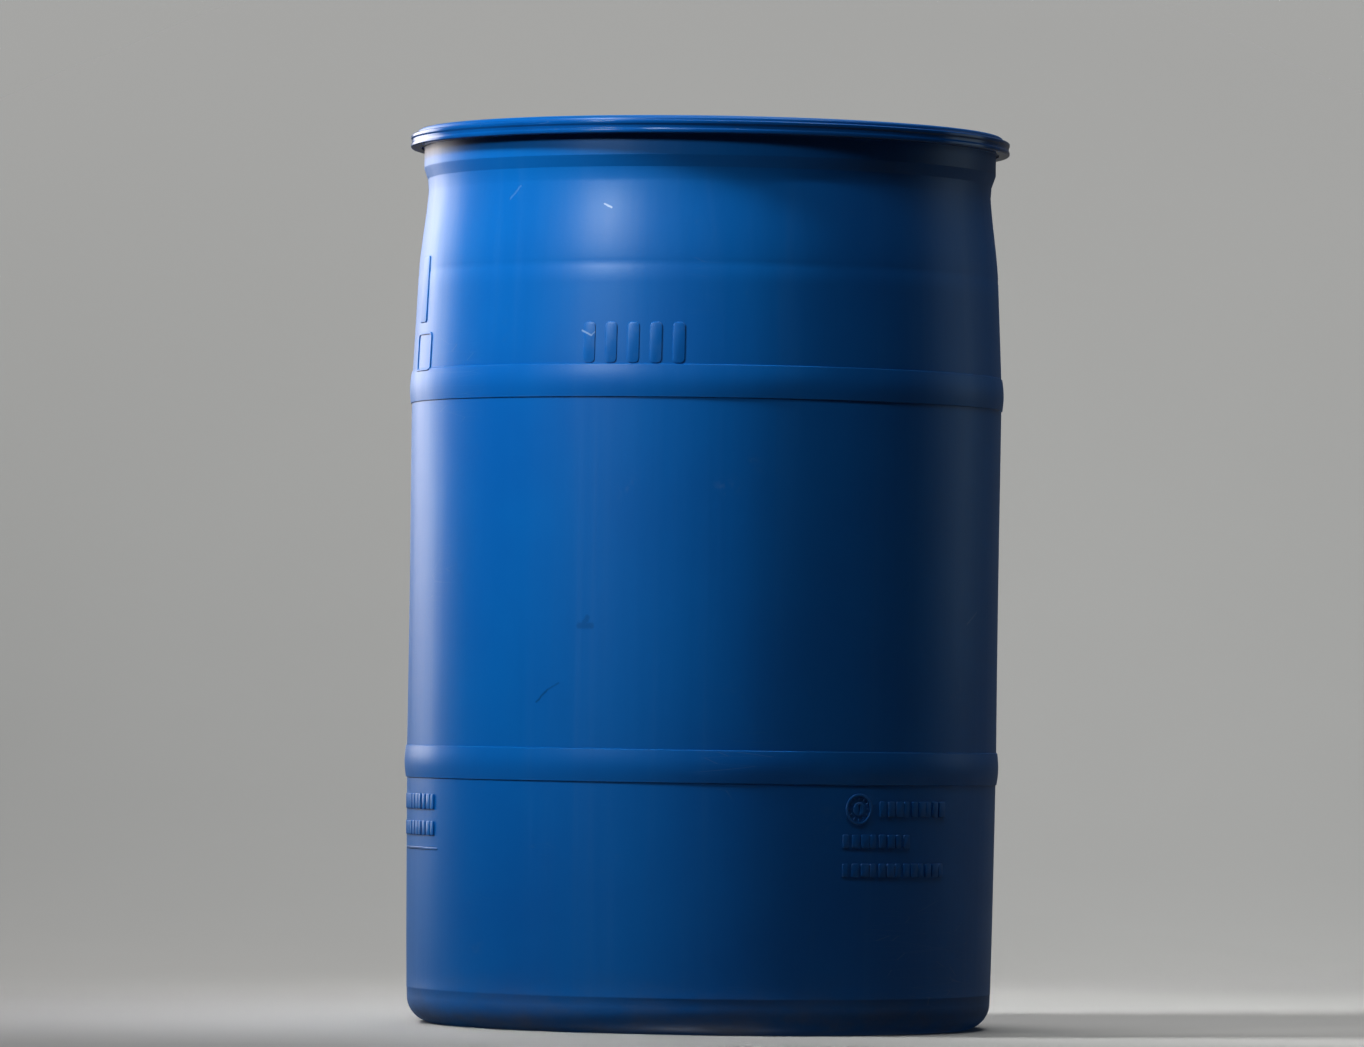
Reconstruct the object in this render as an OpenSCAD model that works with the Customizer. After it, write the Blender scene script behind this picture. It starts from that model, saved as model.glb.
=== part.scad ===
// Open head drum: moulded body, recessed lid with two bungs, and a steel
// clamp ring closed by an over-centre lever at the back.
// Millimetres, +Z up, origin at the centre of the base on the floor, front -Y.

/* [Drum] */
// Overall height from the floor to the top of the lid
drum_h = 884; // [860:1:910]
// Outer radius of the clamp ring, the widest part
rim_r = 297.5; // [296.5:0.5:299]
// Wall thickness of the moulded body
wall = 4; // [3.5:0.25:4.5]
// Radius between the body wall and the base
base_corner_r = 26; // [16:1:30]

/* [Rolling beads] */
// Height of the middle of the lower bead
low_bead_z = 258; // [250:1:270]
// Height of the middle of the upper bead
high_bead_z = 628.5; // [615:0.5:635]
// Height of a bead, edge to edge
bead_h = 31; // [26:1:34]
// How far a bead stands out of the wall
bead_out = 2.4; // [1.8:0.1:2.6]

/* [Lid] */
// Depth of the dish below the top of the lid
dish_depth = 32; // [28:1:32]
// Distance of each bung from the middle of the lid
bung_at = 190; // [170:1:200]
// Radius of the large bung's threaded shank
large_bung_r = 29.44; // [29:0.02:29.44]
// Radius of the small bung's threaded shank
small_bung_r = 13.24; // [13:0.02:13.24]
// Number of stiffening ribs in the dish
dish_ribs = 16; // [12:4:20]

/* [Lever] */
// Distance from the lever's pivot to the link's pivot
throw_r = 20; // [19:0.5:20]
// How far round the ring the lever reaches, in degrees
lever_arc = 31; // [29:1:34]

/* [Hidden] */
$fn = 96;

bung_black = [0.05, 0.05, 0.06];
bung_gasket_grey = [0.75, 0.76, 0.74];
bracket_steel = [0.78, 0.79, 0.78];
rivet_steel = [0.7, 0.71, 0.7];
pin_steel = [0.66, 0.67, 0.66];

body_r = rim_r - 5.8;      // main wall
neck_r = rim_r - 13.5;     // neck below the flange
waist_r = rim_r - 18.3;    // groove between shoulder and neck
ring_z = drum_h - 11.25;   // middle of the clamp ring

// ---- helpers
function arc_points(centre, r, start, end, steps) =
    [for (i = [0:steps]) let (a = start + (end - start) * i / steps)
        centre + r * [cos(a), sin(a)]];
// section points [r, z] given from the rim radius and the top of the lid
function from_rim(points) = [for (p = points) [rim_r, drum_h] + p];

// part ring between two azimuths, clockwise from +Y seen from above
module sector(inner_r, outer_r, bottom, top, start, end) {
    rotate([0, 0, 90 - end]) rotate_extrude(angle = end - start)
        translate([inner_r, bottom]) square([outer_r - inner_r, top - bottom]);
}
// the same, counted from the front (-Y) towards +X
module front_sector(inner_r, outer_r, bottom, top, start, end) {
    rotate([0, 0, start - 90]) rotate_extrude(angle = end - start)
        translate([inner_r, bottom]) square([outer_r - inner_r, top - bottom]);
}
// upright round bar at a linkage point, bottom and top counted from ring_z
module post(at, r, bottom, top) {
    translate([at[0], at[1], ring_z + bottom]) cylinder(h = top - bottom, r = r);
}
// radial round bar at height ring_z, azimuth counted from +Y
module radial_bar(azimuth, r, from, to) {
    rotate([0, 0, -azimuth]) translate([0, from, ring_z]) rotate([-90, 0, 0])
        cylinder(h = to - from, r = r);
}

// ---- drum body
shoulder_z = drum_h - 139;     // start of the shoulder's curve
groove_z = drum_h - 59.3;      // bottom of the groove
shoulder_r = body_r - 4.3;
shoulder_steps = 10;
upper_wall_z = 645;            // foot of the wall above the upper bead
low_wall = [body_r - 2.2, 50]; // wall point above the base corner
base_corner = [body_r - 2.7 - base_corner_r, base_corner_r];
inside_bead_gap = 20;          // inner wall points, clear of the bead middles

// an S curve that still leans a little where it meets the groove
function s_curve(t) = 0.8 * t * t * (3 - 2 * t) + 0.2 * t;
function shoulder_at(z) = shoulder_r
    - (shoulder_r - waist_r) * s_curve((z - shoulder_z) / (groove_z - shoulder_z));
shoulder_points = [for (i = [0:shoulder_steps])
    let (z = shoulder_z + (groove_z - shoulder_z) * i / shoulder_steps) [shoulder_at(z), z]];

// a bulge on a small step, between wall radii below and above it
function bead_points(mid_z, below_r, above_r) =
    let (steps = 8, step_out = 1.1, edge_h = 0.6, bottom = mid_z - bead_h / 2)
    concat([[below_r, bottom - edge_h]],
        [for (i = [0:steps]) let (t = i / steps)
            [below_r + (above_r - below_r) * t + step_out + (bead_out - step_out) * sin(180 * t),
             bottom + bead_h * t]],
        [[above_r, bottom + bead_h + edge_h]]);

// outer face [r, z], from the middle of the base up and over the mouth
skin = concat(
    [[0, 7], [222, 7], [232, 0]],
    arc_points(base_corner, base_corner_r, -90, 0, 8),
    [low_wall],
    bead_points(low_bead_z, body_r, body_r + 0.4),
    [[body_r + 0.1, (low_bead_z + high_bead_z) / 2]],
    bead_points(high_bead_z, body_r + 0.5, body_r + 0.1),
    shoulder_points,
    [[waist_r + 0.9, drum_h - 48.7], [neck_r - 0.6, drum_h - 39.4], [neck_r, drum_h - 37.4]],
    arc_points([neck_r + 2, drum_h - 18], 2, 180, 90, 3),
    from_rim([
        [-3.2, -16], [-2.7, -15.5], [-2.7, -11.5], [-3.2, -11], [-9.6, -11],
        [-10, -10.6], [-10, -8.4], [-10.4, -8], [-15.1, -8], [-15.5, -8.4],
        [-15.5, -12], [-16.2, -14.5], [-16.2, -17]]),
    [[neck_r - wall, drum_h - 23]]);
// inner face [r, z], from the neck down to the middle of the base
cavity = concat(
    [[neck_r - wall, drum_h - 36.4], [neck_r - wall - 0.6, drum_h - 38.6],
     [waist_r - wall + 0.9, drum_h - 48]],
    [for (i = [shoulder_steps:-1:0]) shoulder_points[i] - [wall, 0.6]],
    [[body_r - wall + 0.2, high_bead_z + inside_bead_gap],
     [body_r - wall + 0.2, low_bead_z - inside_bead_gap],
     low_wall - [wall, 0]],
    arc_points(base_corner, base_corner_r - wall, 0, -90, 8),
    [[234, 4], [223, 12], [0, 12]]);

dial_z = 219;
// rows of raised blocks: [middle z, height, start azimuth, count, widest block, gap]
block_rows = [
    // right of the front
    [dial_z, 15, 36.2, 9, 1.9, 0.12],
    [188, 13, 28, 8, 1.85, 0.2],
    [160, 13, 28, 13, 1.9, 0.15],
    // left of the front
    [dial_z, 15, -85, 10, 1.95, 0.3],
    [193, 14, -85, 10, 1.95, 0.3]];

// block widths follow a three-step rule
module block_row(mid_z, height, start, count, width, gap) {
    for (i = [0:count - 1]) {
        left = start + i * (width + gap);
        front_sector(body_r - 1.5, body_r + 0.7, mid_z - height / 2, mid_z + height / 2,
            left, left + width * (0.7 + 0.15 * (i % 3)));
    }
}
// radius of the wall between the upper bead and the groove
function upper_wall(z) = z > shoulder_z ? shoulder_at(z)
    : body_r + (shoulder_r - body_r) * (z - upper_wall_z) / (shoulder_z - upper_wall_z);
// a plain patch on that wall, between two azimuths
module wall_mark(bottom, top, out, start, end) {
    root = 2.5;            // depth sunk into the wall
    steps = 3;
    rotate([0, 0, start - 90]) rotate_extrude(angle = end - start)
        polygon(concat([[upper_wall(bottom) - root, bottom]],
            [for (i = [0:steps]) let (z = bottom + (top - bottom) * i / steps)
                [upper_wall(z) + out, z]],
            [[upper_wall(top) - root, top]]));
}
// the same, open in the middle; side bars are measured in degrees
module wall_frame(bottom, top, out, start, end, bar, side_bar) {
    difference() {
        wall_mark(bottom, top, out, start, end);
        front_sector(body_r - 12, body_r + 5, bottom + bar, top - bar,
            start + side_bar, end - side_bar);
    }
}
module date_dial(mid_z, azimuth, r) {
    face = 2.9;            // height of the raised parts
    floor = 2.3;           // height of the sunk parts
    slot_w = 2;
    tick_w = 1.2;
    rotate([0, 0, azimuth]) translate([0, -body_r + 2.1, mid_z]) rotate([90, 0, 0]) {
        difference() {
            cylinder(h = face, r = r);
            translate([0, 0, floor]) cylinder(h = 2, r = r - 2);
        }
        difference() {
            cylinder(h = face, r = r * 0.45);
            translate([-slot_w / 2, -r * 0.32, floor]) cube([slot_w, r * 0.64, 2]);
        }
        for (i = [0:11]) rotate([0, 0, i * 30])
            translate([-tick_w / 2, r * 0.62, 1]) cube([tick_w, r * 0.18, face - 1]);
    }
}
module drum_body() {
    color([0.02, 0.30, 0.66]) union() {
        rotate_extrude() polygon(concat(skin, cavity));
        date_dial(dial_z, 31.5, 15);
        for (row = block_rows) block_row(row[0], row[1], row[2], row[3], row[4], row[5]);
        // thin line below the left rows
        front_sector(body_r - 2.5, body_r - 0.1, 172, 174.5, -86, -62);
        // five bars, an open frame and a plain patch above the upper bead
        for (i = [0:4]) {
            start = -24.2 + i * 4.4;
            wall_mark(646, 685, 0.8, start, start + 2.4);
        }
        wall_frame(646, 680, 0.9, -78, -68.5, bar = 2, side_bar = 0.45);
        wall_mark(690, 756, 0.9, -77.5, -72.5);
    }
}

// ---- lid
dish_top = drum_h - dish_depth;
dish_under = dish_top - 3.5;
dish_r = rim_r - 29;           // flat floor of the dish
large_top = drum_h - 12;       // top of the large boss
small_top = drum_h - 14;       // top of the small boss
thread_gap = 0.06;             // between a shank and its hole
rib_h = 6;
rib_w = 3;
rib_start = 61;
rib_z = dish_top - 1;
// [r, z], from the middle over the rim and back below
lid_section = concat(
    [[0, dish_top], [dish_r, dish_top]],
    arc_points([dish_r, dish_top + 5], 5, -90, -12, 4),
    from_rim([[-20.5, -12], [-20.5, -3]]),
    arc_points([rim_r - 17.5, drum_h - 3], 3, 180, 90, 4),
    arc_points([rim_r - 10, drum_h - 4], 4, 90, 0, 5),
    from_rim([
        [-6, -6.5], [-3.4, -6.5], [-2.7, -7.2], [-2.7, -9.6], [-3.1, -10],
        [-9.5, -10], [-9.5, -3.5], [-16.5, -3.5], [-16.5, -14]]),
    arc_points([dish_r, dish_under + 8], 8.4, -12, -90, 4),
    [[0, dish_under]]);

module lid() {
    color([0.02, 0.28, 0.62]) difference() {
        union() {
            rotate_extrude() polygon(lid_section);
            translate([-bung_at, 0, dish_under]) cylinder(h = large_top - dish_under, r = 39);
            translate([bung_at, 0, dish_under]) cylinder(h = small_top - dish_under, r = 21.5);
            // ring in the middle of the dish
            difference() {
                translate([0, 0, rib_z]) cylinder(h = rib_h, r = 64);
                translate([0, 0, rib_z - 1]) cylinder(h = 12, r = 60);
            }
            // radial ribs, left out where the bungs stand
            for (i = [0:dish_ribs - 1]) if (i % (dish_ribs / 2) != 0)
                rotate([0, 0, i * 360 / dish_ribs])
                    translate([rib_start, -rib_w / 2, rib_z])
                        cube([dish_r - rib_start, rib_w, rib_h]);
        }
        translate([-bung_at, 0, dish_under - 1]) cylinder(h = 60, r = large_bung_r + thread_gap);
        translate([bung_at, 0, dish_under - 1]) cylinder(h = 60, r = small_bung_r + thread_gap);
    }
}
module lid_gasket() {
    color([0.85, 0.86, 0.84]) rotate_extrude() polygon(from_rim([
        [-16.1, -7.2], [-15.4, -7.95], [-10.6, -7.95], [-9.9, -7.2],
        [-9.9, -4.3], [-10.6, -3.55], [-15.4, -3.55], [-16.1, -4.3]]));
}

// ---- bungs
large_gasket_h = 2;
small_gasket_h = 1.6;
gasket_gap = 0.02;             // under a gasket
bung_gap = 0.05;               // under and over a gasket together

// z = 0 under the flange; a socket with crossed bars and a circle of notches
module bung(shank_r, shank_z, shank_h, flange_r, flange_h, crown_r, crown_h,
            socket_r, socket_z, bar, bar_z, notches, notch_start, notch_at, notch_r, notch_z) {
    difference() {
        union() {
            cylinder(h = flange_h, r = flange_r);
            cylinder(h = crown_h, r = crown_r);
            translate([0, 0, shank_z]) cylinder(h = shank_h, r = shank_r);
        }
        difference() {
            translate([0, 0, socket_z]) cylinder(h = 20, r = socket_r);
            for (a = [0, 90]) rotate([0, 0, a])
                translate([-bar[0] / 2, -bar[1] / 2, bar_z]) cube(bar);
        }
        for (i = [0:notches - 1]) rotate([0, 0, i * 360 / notches + notch_start])
            translate([notch_at, 0, notch_z]) cylinder(h = 4, r = notch_r);
    }
}
module washer(h, outer_r, inner_r) {
    difference() {
        cylinder(h = h, r = outer_r);
        translate([0, 0, -1]) cylinder(h = 4, r = inner_r);
    }
}
module large_bung() {
    color(bung_black) translate([-bung_at, 0, large_top + large_gasket_h + bung_gap])
        bung(shank_r = large_bung_r, shank_z = -15, shank_h = 16,
            flange_r = 35.5, flange_h = 3.6, crown_r = 34.5, crown_h = 4.6,
            socket_r = 24, socket_z = -11, bar = [52, 5, 14], bar_z = -13,
            notches = 8, notch_start = 22.5, notch_at = 31, notch_r = 1.6, notch_z = 2.6);
}
module large_bung_gasket() {
    color(bung_gasket_grey) translate([-bung_at, 0, large_top + gasket_gap])
        washer(large_gasket_h, 34.5, 30.2);
}
module small_bung() {
    color(bung_black) translate([bung_at, 0, small_top + small_gasket_h + bung_gap])
        bung(shank_r = small_bung_r, shank_z = -12.3, shank_h = 13,
            flange_r = 18, flange_h = 3, crown_r = 17.2, crown_h = 3.8,
            socket_r = 9, socket_z = -4.7, bar = [22, 4.8, 6.2], bar_z = -6,
            notches = 6, notch_start = 0, notch_at = 14.6, notch_r = 1.1, notch_z = 2.4);
}
module small_bung_gasket() {
    color(bung_gasket_grey) translate([bung_at, 0, small_top + gasket_gap])
        washer(small_gasket_h, 17.5, 14);
}

// ---- clamp ring
// rolled band [r, z]: web with a shallow groove, two legs turned in
band_section = from_rim([
    [-5.3, -4.9], [-1.4, -4.9], [-0.4, -5.3], [0, -6.3], [0, -8.2], [-0.9, -9.9],
    [-0.9, -12.6], [0, -14.3], [0, -16.2], [-0.4, -17.2], [-1.4, -17.6],
    [-10.5, -17.6], [-10.5, -16.4], [-1.8, -16.4], [-1.3, -15.9], [-1.3, -14.1],
    [-2.15, -12.4], [-2.15, -10.1], [-1.3, -8.4], [-1.3, -6.6], [-1.8, -6.1], [-5.3, -6.1]]);
// azimuths in degrees from +Y
gap_half = 1.2;                // half the gap between the band's ends
front_end = 179.98;            // where each half stops at the front
lever_rivets = [6.2, 9.2];
link_rivets = [-5.3, -11.4];
staple_azimuth = 29;
rivet_r = 1.66;
rivet_start = rim_r - 2.1;     // inner end of a rivet

module rivet_holes(azimuths) {
    for (a = azimuths) radial_bar(a, 1.7, rim_r - 6, rim_r + 4);
}
module band_half(start, end, holes) {
    difference() {
        rotate([0, 0, 90 - end]) rotate_extrude(angle = end - start) polygon(band_section);
        rivet_holes(holes);
    }
}
module ring_band_right() {
    color([0.02, 0.26, 0.60])
        band_half(gap_half, front_end, concat(lever_rivets, [staple_azimuth]));
}
module ring_band_left() {
    color([0.02, 0.26, 0.60]) band_half(-front_end, -gap_half, link_rivets);
}

// ---- brackets and pins
// linkage points seen from above, x to the right and y outwards at the back
lever_pivot = [18, rim_r + 8.5];
link_pivot = lever_pivot + throw_r * [cos(-4.3), sin(-4.3)];
link_anchor = [-42, rim_r + 5.5];
pin_r = 3;
anchor_r = 3.5;
pin_fit = 0.02;                // clearance of a close hole
loose_fit = 0.05;              // clearance of a turning hole
foot_inner = rim_r + 0.05;     // feet lying on the band
foot_outer = rim_r + 1.55;

// stamped U bracket: curved foot on the band, two ears round the pin
module bracket(pin, start, end, holes, ear_r, hole_r) {
    half_h = 6.3;
    ear_t = 2;
    difference() {
        union() {
            sector(foot_inner, foot_outer, ring_z - half_h, ring_z + half_h, start, end);
            for (z = [-half_h, half_h - ear_t]) {
                post(pin, ear_r, z, z + ear_t);
                translate([0, 0, ring_z + z]) linear_extrude(ear_t) intersection() {
                    translate([pin[0] - ear_r, rim_r - 6])
                        square([2 * ear_r, pin[1] - rim_r + 6]);
                    difference() {
                        circle(r = rim_r + 20);
                        circle(r = foot_inner);
                    }
                }
            }
        }
        post(pin, hole_r, -12, 12);
        rivet_holes(holes);
    }
}
// shanks with stepped heads
module rivet_set(azimuths) {
    head_start = rim_r + 1.62;
    for (a = azimuths) {
        radial_bar(a, rivet_r, rivet_start, rim_r + 2);
        radial_bar(a, 3.1, head_start, rim_r + 2.3);
        radial_bar(a, 2.3, head_start, rim_r + 2.9);
    }
}
// pin with a flat disc at each end
module headed_pin(at, r, head_r) {
    post(at, r, -11, 11);
    for (z = [-11.2, 10.5]) post(at, head_r, z, z + 0.7);
}
module lever_bracket() {
    color(bracket_steel) bracket(lever_pivot, 1.6, 10.6, lever_rivets, 5.4, pin_r + pin_fit);
}
module lever_bracket_rivets() { color(rivet_steel) rivet_set(lever_rivets); }
module link_bracket() {
    color(bracket_steel) bracket(link_anchor, -13, -3.6, link_rivets, 5.8, anchor_r + pin_fit);
}
module link_bracket_rivets() { color(rivet_steel) rivet_set(link_rivets); }
module lever_pivot_pin() { color(pin_steel) post(lever_pivot, pin_r, -8.4, 8.4); }
module link_pivot_pin() { color(pin_steel) headed_pin(link_pivot, pin_r, 4.6); }
module link_anchor_pin() { color(pin_steel) headed_pin(link_anchor, anchor_r, 5.2); }

// lug for the security seal, standing out through the lever's slot
module seal_staple() {
    eye_y = rim_r + 21.5;
    eye_r = 5;
    lug_y = rim_r + 1;
    color(bracket_steel) union() {
        rotate([0, 0, -staple_azimuth]) translate([0, 0, ring_z - 1])
            linear_extrude(2) difference() {
                union() {
                    translate([-eye_r, lug_y]) square([2 * eye_r, eye_y - lug_y]);
                    translate([0, eye_y]) circle(r = eye_r);
                }
                translate([0, eye_y]) circle(r = 3.25);
            }
        sector(foot_inner, foot_outer, ring_z - 6, ring_z + 6,
            staple_azimuth - 1.9, staple_azimuth + 1.9);
        radial_bar(staple_azimuth, rivet_r, rivet_start, rivet_start + 4);
    }
}

// ---- lever: pressed channel following the curve of the ring
lever_inner = rim_r + 3;       // inner edge of the side flanges
lever_outer = rim_r + 17.8;    // outer face of the web
lever_start = atan2(lever_pivot[0], lever_pivot[1]);
lever_end = lever_arc + 1.6;   // end of the web
lever_half_h = 8.4;
lever_t = 1.6;

module lever_flange(z) {
    near_y = 240;              // the cutting wedge spans the ring between these
    far_y = 340;
    translate([0, 0, ring_z + z]) linear_extrude(lever_t) union() {
        translate(lever_pivot) circle(r = 6.6);
        intersection() {
            polygon([[lever_pivot[0], near_y], [lever_pivot[0], far_y],
                [far_y * tan(lever_arc), far_y], [near_y * tan(lever_arc), near_y]]);
            difference() {
                circle(r = lever_outer - 0.6);
                circle(r = lever_inner);
            }
        }
    }
}
module lever() {
    color([0.80, 0.81, 0.80]) difference() {
        union() {
            // web, with the rolled finger lip at its end
            sector(lever_outer - lever_t, lever_outer, ring_z - 8.3, ring_z + 8.3,
                lever_start + 1.4, lever_end);
            rotate([0, 0, -lever_end]) translate([0, lever_outer + 0.4, ring_z - 8])
                cylinder(h = 16, r = 2.2);
            lever_flange(-lever_half_h);
            lever_flange(lever_half_h - lever_t);
        }
        post(lever_pivot, pin_r + loose_fit, -12, 12);
        post(link_pivot, pin_r + pin_fit, -12, 12);
        // slot over the seal staple
        sector(lever_outer - 4, lever_outer + 4, ring_z - 2, ring_z + 2,
            staple_azimuth - 1.3, staple_azimuth + 2);
    }
}

// ---- toggle link: two side arms joined by a web; the far end is an open hook
link_span = link_pivot - link_anchor;
link_length = norm(link_span);
link_half_h = 10.4;
arm_t = 1.7;
arm_r = 6.3;                   // rounded end and half width of an arm
hook_r = anchor_r + 0.1;

// origin at the anchor pin, x towards the link pivot
module link_arm() {
    difference() {
        union() {
            translate([0, -arm_r]) square([link_length, 2 * arm_r]);
            translate([link_length, 0]) circle(r = arm_r);
            circle(r = 8);
            translate([-5, 0]) square([38, 8.8]);
        }
        translate([link_length, 0]) circle(r = pin_r + loose_fit);
        circle(r = hook_r);
        // flared mouth of the hook, facing the drum
        polygon([[hook_r, 0], [hook_r, -14], [-16, -14], [-16, -12], [-2.6, 2.5], [0, 2]]);
    }
}
module toggle_link() {
    color([0.76, 0.77, 0.76]) translate([link_anchor[0], link_anchor[1], ring_z])
        rotate([0, 0, atan2(link_span[1], link_span[0])]) {
            for (z = [-link_half_h, link_half_h - arm_t])
                translate([0, 0, z]) linear_extrude(arm_t) link_arm();
            translate([-4, 6.9, -link_half_h]) cube([36, 1.9, 2 * link_half_h]);
        }
}

drum_body();
lid();
lid_gasket();
large_bung();
large_bung_gasket();
small_bung();
small_bung_gasket();
ring_band_right();
ring_band_left();
lever_bracket();
lever_bracket_rivets();
lever_pivot_pin();
seal_staple();
link_bracket();
link_bracket_rivets();
link_anchor_pin();
lever();
link_pivot_pin();
toggle_link();
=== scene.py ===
"""A blue plastic drum with a lid, two bungs and a clamp ring closed by a lever latch.

The drum stands on z = 0 with its axis on z. The front faces -Y, where the camera stands,
and the latch is at the back, on +Y. Shapes are in millimetres and become metres when a
mesh is made. Materials, lights and the camera are in metres.
"""
import math
import bpy, bmesh
from mathutils import Vector, Matrix, noise


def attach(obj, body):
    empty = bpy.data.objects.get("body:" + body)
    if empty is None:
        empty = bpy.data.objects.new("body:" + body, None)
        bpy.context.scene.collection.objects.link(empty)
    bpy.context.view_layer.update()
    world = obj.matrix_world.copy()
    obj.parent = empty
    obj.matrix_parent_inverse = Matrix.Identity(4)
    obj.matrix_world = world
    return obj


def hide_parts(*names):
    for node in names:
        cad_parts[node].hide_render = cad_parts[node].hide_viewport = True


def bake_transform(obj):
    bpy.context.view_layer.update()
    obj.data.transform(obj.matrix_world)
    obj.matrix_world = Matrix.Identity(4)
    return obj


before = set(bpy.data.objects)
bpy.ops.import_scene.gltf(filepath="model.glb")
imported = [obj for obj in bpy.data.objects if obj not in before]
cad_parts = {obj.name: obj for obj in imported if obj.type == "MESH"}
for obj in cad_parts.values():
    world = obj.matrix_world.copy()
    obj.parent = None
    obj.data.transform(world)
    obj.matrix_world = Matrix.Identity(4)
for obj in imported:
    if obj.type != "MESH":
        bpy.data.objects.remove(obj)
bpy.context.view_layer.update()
scene = bpy.context.scene

MM = 0.001
TOP = 884.0              # height of the closed drum
RIM = 297.5              # outer radius of the clamp ring
WALL = 4.0               # wall thickness
BODY_R = RIM - 5.8
NECK_R = RIM - 13.5      # under the rim
WAIST_R = RIM - 18.3     # top of the shoulder
LATCH_Z = TOP - 11.25    # middle height of the latch
BUNG_X = 190.0           # bung distance from the axis
LARGE_BOSS_TOP, SMALL_BOSS_TOP = TOP - 12.0, TOP - 14.0
LARGE_BORE, SMALL_BORE = 29.5, 13.3

# latch pivots (x, y)
LEVER_PIVOT = (18.0, RIM + 8.5)
LINK_ANCHOR = (-42.0, RIM + 5.5)
CRANK, CRANK_ANGLE = 20, math.radians(-4.3)     # from lever pivot to link pivot
LINK_PIVOT = (LEVER_PIVOT[0] + CRANK * math.cos(CRANK_ANGLE),
              LEVER_PIVOT[1] + CRANK * math.sin(CRANK_ANGLE))


# ------------------------------------------------------------------ shader tools
class Shader:
    """A short way to write a node tree. Textures run in object coordinates."""

    def __init__(self, name):
        self.material = bpy.data.materials.new(name)
        self.material.use_nodes = True
        self.tree = self.material.node_tree
        self.tree.nodes.clear()
        self.output = self.tree.nodes.new("ShaderNodeOutputMaterial")
        self.co = self.node("TexCoord").outputs["Object"]

    def node(self, kind, inputs=None, **props):
        """Adds a node; kind is its type without the ShaderNode prefix."""
        node = self.tree.nodes.new("ShaderNode" + kind)
        for key, value in props.items():
            setattr(node, key, value)
        for key, value in (inputs or {}).items():
            self.feed(value, node.inputs[key])
        return node

    def feed(self, value, socket):
        if isinstance(value, bpy.types.NodeSocket):
            self.tree.links.new(value, socket)
        elif isinstance(value, (tuple, list)) and socket.type == "RGBA" and len(value) == 3:
            socket.default_value = (*value, 1)
        else:
            socket.default_value = value

    def math(self, operation, first, second, clamp=False):
        inputs = {0: first, 1: second}
        return self.node("Math", inputs, operation=operation, use_clamp=clamp).outputs[0]

    def add(self, first, second):
        return self.math("ADD", first, second)

    def subtract(self, first, second):
        return self.math("SUBTRACT", first, second)

    def multiply(self, first, second):
        return self.math("MULTIPLY", first, second)

    def larger(self, first, second):
        return self.math("MAXIMUM", first, second)

    def vary(self, value, texture, amount):
        """Swings value by amount as texture runs from 0 to 1 about its middle."""
        return self.add(value, self.multiply(self.subtract(texture, 0.5), amount))

    def vector(self, operation, first, second=None, slot=1, output="Vector"):
        inputs = {0: first}
        if second is not None:
            inputs[slot] = second
        return self.node("VectorMath", inputs, operation=operation).outputs[output]

    def smooth(self, value, start, end, high=1.0):
        """Eases from 0 at start to high at end."""
        inputs = {"Value": value, "From Min": start, "From Max": end, "To Max": high}
        return self.node("MapRange", inputs, interpolation_type="SMOOTHSTEP").outputs[0]

    def mix(self, factor, first, second, amount=None):
        if amount is not None:
            factor = self.multiply(factor, amount)
        return self.node("Mix", {0: factor, 6: first, 7: second}, data_type="RGBA").outputs[2]

    def stretched(self, scale):
        return self.node("Mapping", {"Vector": self.co, "Scale": scale}).outputs[0]

    def noise(self, scale=1.0, detail=4.0, rough=0.55, distort=0.0, stretch=None):
        inputs = {"Vector": self.stretched(stretch) if stretch else self.co, "Scale": scale,
                  "Detail": detail, "Roughness": rough, "Distortion": distort}
        return self.node("TexNoise", inputs).outputs["Fac"]

    def cell_edges(self, stretch):
        """Distance to the edges of stretched cells; thin lines where it is near 0."""
        inputs = {"Vector": self.stretched(stretch), "Scale": 1.0}
        return self.node("TexVoronoi", inputs, feature="DISTANCE_TO_EDGE").outputs["Distance"]

    def geometry(self, output):
        return self.node("NewGeometry").outputs[output]

    def strokes(self, marks, radius):
        """Short straight marks on the outside of an upright cylinder, from a mark table."""
        x, y, z = self.node("SeparateXYZ", {0: self.co}).outputs
        angle = self.math("ARCTAN2", x, self.multiply(y, -1.0))
        fine = self.noise(scale=160.0, detail=3, rough=0.6)
        waver = self.multiply(self.subtract(fine, 0.5), 0.004)
        across = self.add(self.multiply(angle, radius), waver)
        unrolled = self.node("CombineXYZ", {0: across, 1: z}).outputs[0]
        total = 0.0
        for angle0, z0, angle1, z1, half_width, strength in marks:
            start = Vector((math.radians(angle0) * radius, z0, 0))
            run = Vector((math.radians(angle1) * radius, z1, 0)) - start
            offset = self.vector("SUBTRACT", unrolled, tuple(start))
            along = self.vector("DOT_PRODUCT", offset, tuple(run / run.length_squared),
                                output="Value")
            along = self.math("ADD", along, 0.0, clamp=True)
            nearest = self.vector("SCALE", tuple(run), along, slot="Scale")
            gap = self.vector("SUBTRACT", offset, nearest)
            gap = self.vector("LENGTH", gap, output="Value")
            line = self.smooth(gap, start=half_width, end=half_width * 0.35)
            total = self.larger(total, self.multiply(line, strength))
        # the inside of the wall stays clean
        facing = self.vector("DOT_PRODUCT", self.geometry("Normal"), self.co, output="Value")
        return self.multiply(total, self.math("GREATER_THAN", facing, 0.0))

    def bumps(self, *layers):
        """Stacks bump layers, each (height, strength, distance)."""
        normal = None
        for height, strength, distance in layers:
            inputs = {"Height": height, "Strength": strength, "Distance": distance}
            if normal is not None:
                inputs["Normal"] = normal
            normal = self.node("Bump", inputs).outputs[0]
        return normal

    def principled(self, color, roughness, normal, **others):
        inputs = {"Base Color": color, "Roughness": roughness, "Normal": normal, **others}
        return self.node("BsdfPrincipled", inputs).outputs[0]

    def finish(self, surface):
        self.feed(surface, self.output.inputs[0])
        return self.material


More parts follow.
